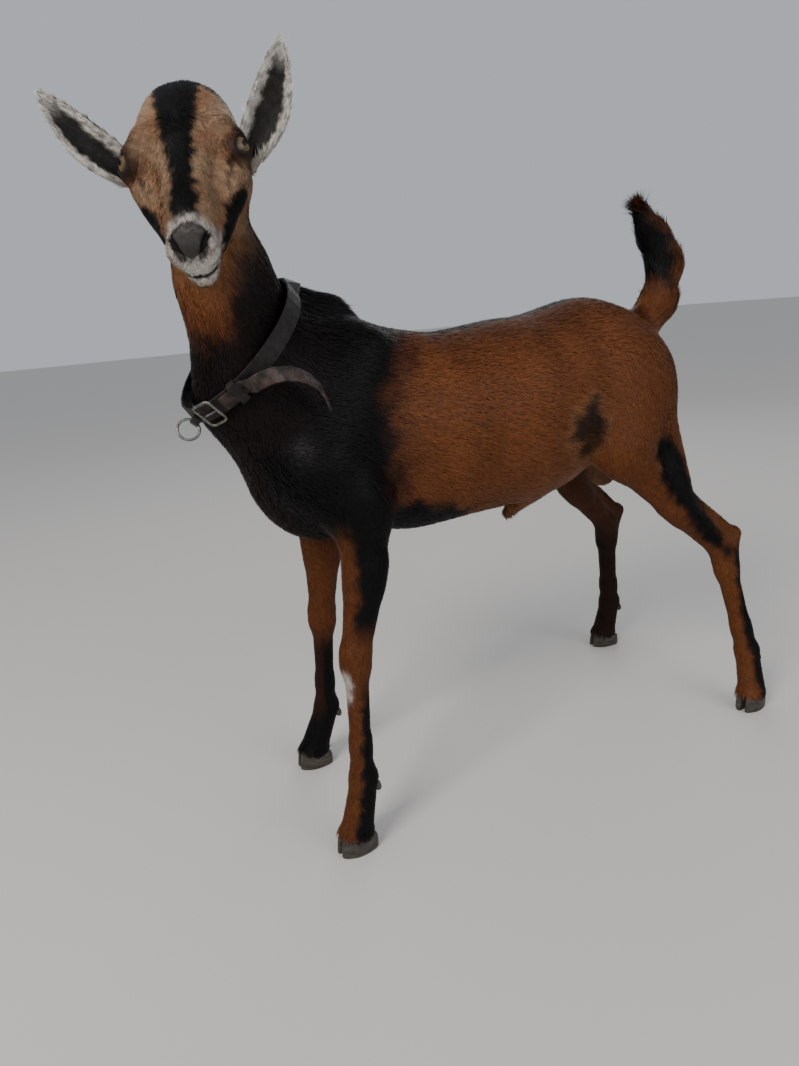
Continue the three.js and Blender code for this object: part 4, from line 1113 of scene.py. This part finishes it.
class Nodes:
    """A small help for writing a material's nodes."""

    def __init__(self, name):
        self.material = bpy.data.materials.new(name)
        self.material.use_nodes = True
        self.tree = self.material.node_tree
        self.shader = self.tree.nodes["Principled BSDF"]

    def add(self, kind, **values):
        """A new node, with its own settings or the values of its sockets."""
        node = self.tree.nodes.new(kind)
        for name, value in values.items():
            if hasattr(node, name):
                setattr(node, name, value)
            else:
                node.inputs[name.replace("_", " ")].default_value = value
        return node

    def link(self, source, target):
        self.tree.links.new(source, target)

    def set(self, **values):
        """Sets numbers and colours that are the same all over the surface."""
        for name, value in values.items():
            self.shader.inputs[name.replace("_", " ")].default_value = value

    def noise(self, scale, detail=3.0, rough=0.55, stretch=(1, 1, 1)):
        """Noise over the object's own coordinates."""
        where = self.add("ShaderNodeTexCoord")
        mapping = self.add("ShaderNodeMapping")
        mapping.inputs["Scale"].default_value = stretch
        texture = self.add("ShaderNodeTexNoise", Scale=scale, Detail=detail, Roughness=rough)
        self.link(where.outputs["Object"], mapping.inputs["Vector"])
        self.link(mapping.outputs["Vector"], texture.inputs["Vector"])
        return texture.outputs["Fac"]

    def spread(self, source, low, high):
        """Carries 0.3 to 0.7 of a noise to low to high."""
        node = self.add("ShaderNodeMapRange")
        for socket, value in (("From Min", 0.3), ("From Max", 0.7), ("To Min", low), ("To Max", high)):
            node.inputs[socket].default_value = value
        self.link(source, node.inputs["Value"])
        return node.outputs["Result"]

    def bump(self, height, strength, distance):
        """Small relief from a noise."""
        node = self.add("ShaderNodeBump", Strength=strength, Distance=distance)
        self.link(height, node.inputs["Height"])
        self.link(node.outputs["Normal"], self.shader.inputs["Normal"])

    def sheen(self, noise, low, high):
        """Roughness that varies with a noise."""
        self.link(self.spread(noise, low, high), self.shader.inputs["Roughness"])

    def stored_colour(self, noise, low, high):
        """The colours stored on the points, lighter and darker with a noise."""
        stored = self.add("ShaderNodeAttribute", attribute_name="coat")
        node = self.add("ShaderNodeVectorMath", operation="SCALE")
        self.link(stored.outputs["Color"], node.inputs[0])
        self.link(self.spread(noise, low, high), node.inputs["Scale"])
        self.link(node.outputs["Vector"], self.shader.inputs["Base Color"])

    def two_tone(self, share, dark, pale, low=0.0, high=1.0):
        """From dark to pale as a number goes from low to high."""
        node = self.add("ShaderNodeValToRGB")
        for stop, colour, at in zip(node.color_ramp.elements, (dark, pale), (low, high)):
            stop.color = (*colour, 1)
            stop.position = at
        self.link(share, node.inputs["Fac"])
        self.link(node.outputs["Color"], self.shader.inputs["Base Color"])


def coat_material(name, roughness, fine):
    """Hair, or the skin under it, in the colours stored on its points."""
    m = Nodes(name)
    m.stored_colour(m.noise(fine, 4.0), 0.78, 1.22)
    m.sheen(m.noise(fine * 0.4), roughness - 0.06, roughness + 0.08)
    m.set(Specular_IOR_Level=0.13)
    m.bump(m.noise(fine * 2.2, 2.0), 0.35, 0.0006)
    return m.material


def horn_material():
    """Dark hoof, streaked along its growth."""
    m = Nodes("hoof_horn")
    streaks = m.spread(m.noise(70, 5.0, 0.6, (1, 1, 4)), 0, 1)
    m.two_tone(streaks, (0.017, 0.015, 0.013), (0.080, 0.068, 0.055))
    m.set(Specular_IOR_Level=0.3)
    m.sheen(m.noise(160), 0.42, 0.66)
    m.bump(m.noise(120, 3.0, 0.6, (0.3, 0.3, 5)), 0.5, 0.0008)
    return m.material


def leather_material(name, dark, worn):
    """Strap leather with a pebbled grain and rubbed, paler patches."""
    m = Nodes(name)
    m.two_tone(m.noise(95, 6.0, 0.65), dark, worn, 0.42, 0.78)
    m.sheen(m.noise(240), 0.40, 0.62)
    m.set(Specular_IOR_Level=0.3)
    m.bump(m.noise(900, 3.0), 0.45, 0.0004)
    return m.material


def steel_material():
    """Dull steel with brown tarnish."""
    m = Nodes("dull_steel")
    m.two_tone(m.spread(m.noise(260, 5.0), 0, 1), (0.07, 0.06, 0.05), (0.30, 0.29, 0.27))
    m.sheen(m.noise(500), 0.26, 0.50)
    m.set(Metallic=0.95)
    m.bump(m.noise(700), 0.2, 0.0003)
    return m.material


def eye_material():
    """A wet eye, in the colours stored on its points."""
    m = Nodes("eye_surface")
    m.stored_colour(m.noise(900, 4.0), 0.8, 1.2)
    m.set(Roughness=0.10, Specular_IOR_Level=0.30)
    return m.material


def floor_material():
    """A plain pale floor."""
    m = Nodes("pale_floor")
    m.set(Base_Color=(0.62, 0.60, 0.57, 1), Roughness=0.85)
    return m.material


# ------------------------------------------------------------------- pieces


def unwrap(p, name):
    """Round each part of the body by its angle and along it by its length."""
    x, y, z = p.T
    along = z
    if name in LEGS:
        joints = np.array(LEGS[name][4:0:-1])
        middle_x, middle_y = (np.interp(z, joints[:, 2], joints[:, axis]) for axis in (0, 1))
        angle = np.arctan2(x - middle_x, middle_y - y)
    elif name == "head":
        left, along, out = in_head(p).T
        angle = np.arctan2(left, -(out + 50))
    elif name == "neck":
        angle = np.arctan2(x - 20, y + 375)
    elif name == "tail":
        angle = np.arctan2(x, y - 300)
    else:
        angle, along = np.arctan2(x, 500 - z), y
    across = UV_MARGIN + UV_SPAN * (angle + math.pi) / (2 * math.pi)
    up = UV_MARGIN + UV_SPAN * (along - along.min()) / max(np.ptp(along), 1)
    return np.stack([across, up], 1)


def coat_piece(name, parts, material, group):
    """One coat mesh of joined tufts."""
    points, colour, normal = (np.concatenate(part) for part in zip(*parts))
    faces = (np.arange(len(points))[:, None, None] * 5 + BLADE).reshape(-1, 3)
    uv = unwrap(points[:, :2].mean(1), group)[:, None] + (BLADE_UV - 0.5) * PATCH
    patches = uv.reshape(-1, 2)[faces.ravel()]
    flat = (array.reshape(-1, 3) for array in (colour, normal))
    new_piece(name, new_mesh(name, points.reshape(-1, 3), faces, *flat, patches), material)


def make_ear_tufts(side, verts, faces, place, colour, rng):
    """Short tufts over the ear, and longer ones along its rim and inside its base."""
    at_roots = sow(verts, faces, np.full(len(verts), EAR_TUFTS), rng)[1]
    values = (verts, vertex_normals(verts, faces), place, colour)
    root, normal, where, tone = (at_roots(value) for value in values)
    normal = unit(normal)
    way = unit(EARS[side]["tip"] - EARS[side]["root"]) + normal * 0.05
    rim = ramp(np.abs(where[:, 2]), 0.78, 0.98)
    size = np.tile(vec(6.0, 0.7, 1.0), (len(root), 1))
    size[:, 0] *= 1 + 0.5 * rim + 0.8 * where[:, 1] * ramp(0.35 - where[:, 0], 0, 0.2)
    return tufts(root, normal, way, size, tone, 0.9 + 0.6 * rim, rng)


def make_skin(sheets, material):
    """One mesh of the body's skin and both ears."""
    verts, faces, colour = zip(*sheets)
    firsts = np.cumsum([0] + [len(v) for v in verts[:-1]])
    faces = np.concatenate([f + first for f, first in zip(faces, firsts)])
    # The skin takes the coat's colours, darkened as painted shade between the tufts.
    mesh = new_mesh("skin", np.concatenate(verts), faces, np.concatenate(colour) * SKIN_SHADE)
    flesh = [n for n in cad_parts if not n.startswith(("collar", "eye")) and "claw" not in n]
    new_piece("skin", mesh, material, flesh)


def make_coat(verts, faces, colour, weight, material, rng):
    """The coat of the body, in pieces by part."""
    size = tuft_sizes(verts, weight)
    face, at_roots = sow(verts, faces, size[:, 3] * TUFT_SCALE, rng)
    way = smoothed(lie_of_coat(verts, weight), faces, 4)
    depth = coat_depth(verts)[:, None]
    values = (verts, vertex_normals(verts, faces), way, size, colour, depth)
    root, normal, lie, sizes, tone, deep = (at_roots(value) for value in values)
    points, tints, normals = tufts(root, normal, lie, sizes, tone, deep[:, 0], rng, whole_skin)
    owner = weight.argmax(1)[faces[face, 0]]
    owner[owner == NAMES.index("under")] = NAMES.index("trunk")
    for i in np.unique(owner):
        name, rows = NAMES[i], np.flatnonzero(owner == i)
        if name == "trunk":
            rows = rows[np.argsort(root[rows, 1], kind="stable")]
        count = math.ceil(len(rows) / PIECE_TUFTS)
        for k, chunk in enumerate(np.array_split(rows, count)):
            title = f"coat_{name}_{k + 1}" if count > 1 else f"coat_{name}"
            coat_piece(title, [(points[chunk], tints[chunk], normals[chunk])], material, name)


def make_skin_and_coat():
    """One skin over the body and both ears, and the coat that lies on it."""
    rng = np.random.default_rng(SEED)
    hair = coat_material("coat_hair", 0.46, 420.0)
    verts, faces = make_body_skin()
    weight = zone_weights(verts)
    colour = coat_colour(verts, vertex_normals(verts, faces), weight)
    sheets, ear_tufts = [(verts, faces, colour)], []
    for side in (-1, 1):
        ear_verts, ear_faces, place = make_ear(side)
        tone = ear_colour(place, ear_verts)
        sheets.append((ear_verts, ear_faces, tone))
        ear_tufts.append(make_ear_tufts(side, ear_verts, ear_faces, place, tone, rng))
    make_skin(sheets, coat_material("coat_skin", 0.55, 260.0))
    coat_piece("coat_ears", ear_tufts, hair, "head")
    make_coat(verts, faces, colour, weight, hair, rng)


# The colours of the eye, from its dark surround inward.
EYE_DARK = vec(0.018, 0.013, 0.011)
IRIS = vec(0.135, 0.090, 0.048)
IRIS_EDGE = vec(0.05, 0.028, 0.014)
PUPIL = vec(0.004, 0.004, 0.005)


def make_eye(side, name, material):
    """An eyeball with an amber iris and a level, slot-shaped pupil."""
    axes = eye_axes(side)
    polar = (math.pi * (np.arange(1, EYE_ROWS) / EYE_ROWS) ** 1.25)[:, None, None]
    a = (2 * math.pi * np.arange(EYE_COLS) / EYE_COLS)[:, None]
    rings = np.sin(polar) * (np.cos(a) * axes[0] + np.sin(a) * axes[1]) + np.cos(polar) * axes[2]
    verts, faces = closed_rings(rings * EYE_R, np.array([axes[2], -axes[2]]) * EYE_R)
    q = verts @ axes.T
    r = np.hypot(q[:, 0], q[:, 1])
    front = q[:, 2] > 0
    angle = np.arctan2(q[:, 1], q[:, 0])
    streak = 0.8 + 0.25 * np.sin(angle * 34) * np.sin(angle * 11 + 1) + 0.2 * ripple(verts, 2.2, 30)
    iris = front * ramp(9.3 - r, -0.5, 0.5)
    slot = np.maximum(np.abs(q[:, 0]) - 3.2, 0)
    pupil = front * ramp(2.3 - np.hypot(slot, q[:, 1]), -0.35, 0.35)
    colour = painted(verts, EYE_DARK, (IRIS, iris))
    colour *= np.where(iris > 0.5, np.clip(streak, 0.5, 1.4), 1)[:, None]
    colour = painted(verts, colour, (IRIS_EDGE, front * ramp(r, 7.4, 9.2) * 0.9), (PUPIL, pupil))
    bulge = 1 + 0.045 * front * ramp(9.5 - r, 0, 7)
    mesh = new_mesh(name, verts * bulge[:, None] + EYE_AT[side], faces, colour)
    new_piece(f"{name}_ball", mesh, material, [name])

# A claw's length and width, and how far apart the middles of a pair stand.
CLAW_LONG, CLAW_WIDE, CLAW_APART = 49.0, 18.6, 19.8
CLAW_POINTS, DEWCLAW_POINTS = 40, 20
# Shares of a claw's height, and its size there.
CLAW_UP = (0, 0.05, 0.12, 0.5, 0.85, 1.0)
CLAW_SIZE = (0.95, 0.99, 1.0, 0.98, 0.92, 0.86)
# Along a dewclaw, and its radius there.
DEWCLAW = ((-6, 4.5), (-4, 5.2), (0, 5.0), (3, 4.2), (5, 2.9), (6, 1.2))


def make_claw(leg, inner):
    """One claw: flat inside wall, round outside wall, flat sole, hair line above."""
    side, foot, turn = leg[0], leg[4], leg[5]
    ground = tipped(0, turn * side)
    up = tipped(-CORONET_TILT, turn * side)[2]
    medial = inner * side
    a = np.linspace(0, 2 * math.pi, CLAW_POINTS, endpoint=False)
    toe = np.maximum(-np.cos(a), 0)
    wall = np.where(np.sin(a) * medial > 0, 0.94, 1)
    rings = []
    for v, size in zip(CLAW_UP, CLAW_SIZE):
        y = CLAW_LONG / 2 * size * np.cos(a) + 3.0 * v
        x = CLAW_WIDE / 2 * size * wall * np.sign(np.sin(a)) * np.abs(np.sin(a)) ** 0.8
        x = x * (1 - 0.3 * toe ** 2) + toe ** 2 * 4 * medial - medial * CLAW_APART / 2
        flat = foot + x[:, None] * ground[0] + y[:, None] * ground[1]
        top = ((foot + (0, 0, CORONET) - flat) @ up) / up[2]
        flat[:, 2] = top * v
        rings.append(flat)
    return closed_rings(np.array(rings))


def make_dewclaw(leg, inner):
    """A small blunt claw behind the fetlock."""
    side, fetlock = leg[0], leg[3]
    at = fetlock + (-side * inner * 10, 14.5, -14)
    lean = unit(vec(-side * inner * 0.2, 0.35, -1))
    across = unit(np.cross(lean, vec(1, 0, 0)))
    a = np.linspace(0, 2 * math.pi, DEWCLAW_POINTS, endpoint=False)[:, None]
    round_way = np.cos(a) * across + np.sin(a) * np.cross(lean, across)
    return closed_rings(np.array([at + lean * v + round_way * r for v, r in DEWCLAW]))


def make_hooves(material):
    """Smooth horn in place of the faceted claws and dewclaws."""
    for name, leg in LEGS.items():
        prefix = name.replace("_", "leg_")
        for word, inner in (("inner", 1), ("outer", -1)):
            for kind, make in (("claw", make_claw), ("dewclaw", make_dewclaw)):
                node = f"{prefix}_{kind}_{word}"
                new_piece(f"{node}_horn", new_mesh(node, *make(leg, inner)), material, [node])


def soften(thing, is_tube):
    """Rounds a CAD node with modifiers, which leave its mesh alone."""
    weld = thing.modifiers.new("weld", "WELD")
    weld.merge_threshold = 1e-5
    if is_tube:
        smooth = thing.modifiers.new("smooth", "SUBSURF")
        smooth.levels = smooth.render_levels = 2
        return
    bevel = thing.modifiers.new("round", "BEVEL")
    bevel.width = EDGE_ROUND
    bevel.segments = 2
    bevel.limit_method = "ANGLE"
    bevel.angle_limit = math.radians(40)


def finish_collar():
    """The collar keeps its shapes and gets rounded edges and its materials."""
    steel = steel_material()
    strap = leather_material("strap_leather", (0.006, 0.005, 0.0045), (0.026, 0.020, 0.017))
    worn = leather_material("worn_leather", (0.010, 0.0075, 0.007), (0.085, 0.048, 0.038))
    finishes = dict.fromkeys(("collar_buckle", "collar_prong", "collar_ring"), steel)
    finishes["collar_loose_end"] = worn
    for node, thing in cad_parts.items():
        if node.startswith("collar"):
            thing.data.materials.clear()
            thing.data.materials.append(finishes.get(node, strap))
            soften(thing, node in ("collar_ring", "collar_prong"))


# ------------------------------------------------------- floor, light, camera

# The lens is 800 px on the photo's long side of 1066 px.
SENSOR = 36
LENS = 800 / 1066 * SENSOR
PITCH, ROLL = math.radians(15.1), math.radians(5.2)
CAMERA_AT = vec(922.66, -670.54, 640.0)
HEADING = vec(-0.88421, 0.46708, 0)
LIGHTS = (
    ("key", (1.4, -2.6, 2.6), 88, 1.3, (1.0, 0.95, 0.88)),
    ("fill", (2.8, 0.8, 1.8), 30, 2.2, (0.93, 0.96, 1.0)),
    ("rim", (-2.0, 1.8, 2.4), 12, 1.4, (1.0, 0.98, 0.95)),
)
LIT_AT = (0, 0, 0.45)
FLOOR_HALF = 30


def make_camera():
    """The camera of the photo."""
    right = vec(HEADING[1], -HEADING[0], 0)
    ahead = HEADING * math.cos(PITCH) - vec(0, 0, math.sin(PITCH))
    up = HEADING * math.sin(PITCH) + vec(0, 0, math.cos(PITCH))
    c, s = math.cos(ROLL), math.sin(ROLL)
    x, y = right * c - up * s, right * s + up * c
    camera = new_object("camera", bpy.data.cameras.new("camera"))
    camera.data.lens = LENS
    camera.data.sensor_width = SENSOR
    turn = Matrix((x, y, -ahead)).transposed().to_4x4()
    camera.matrix_world = Matrix.Translation(Vector(placed(CAMERA_AT))) @ turn
    bpy.context.scene.camera = camera


def make_floor():
    """A large floor at the height of the soles."""
    mesh = bpy.data.meshes.new("floor")
    corners = [(x * FLOOR_HALF, y * FLOOR_HALF, 0) for x, y in ((-1, -1), (1, -1), (1, 1), (-1, 1))]
    mesh.from_pydata(corners, [], [(0, 1, 2, 3)])
    mesh.materials.append(floor_material())
    new_object("floor", mesh)


def make_light(name, place, power, size, colour):
    """An area light aimed at the middle of the goat."""
    light = bpy.data.lights.new(name, "AREA")
    light.energy = power
    light.size = size
    light.color = colour
    lamp = new_object(name, light)
    lamp.location = place
    aim = Vector(LIT_AT) - lamp.location
    lamp.rotation_euler = aim.to_track_quat("-Z", "Y").to_euler()


def make_world():
    """Soft, slightly blue light from all round."""
    world = bpy.data.worlds.new("studio")
    world.use_nodes = True
    back = world.node_tree.nodes["Background"]
    back.inputs["Color"].default_value = (0.86, 0.90, 0.96, 1)
    back.inputs["Strength"].default_value = 0.55
    bpy.context.scene.world = world


make_camera()
make_floor()
make_world()
for light_values in LIGHTS:
    make_light(*light_values)
make_skin_and_coat()
eye_finish = eye_material()
make_eye(1, "eye_left", eye_finish)
make_eye(-1, "eye_right", eye_finish)
finish_collar()
make_hooves(horn_material())
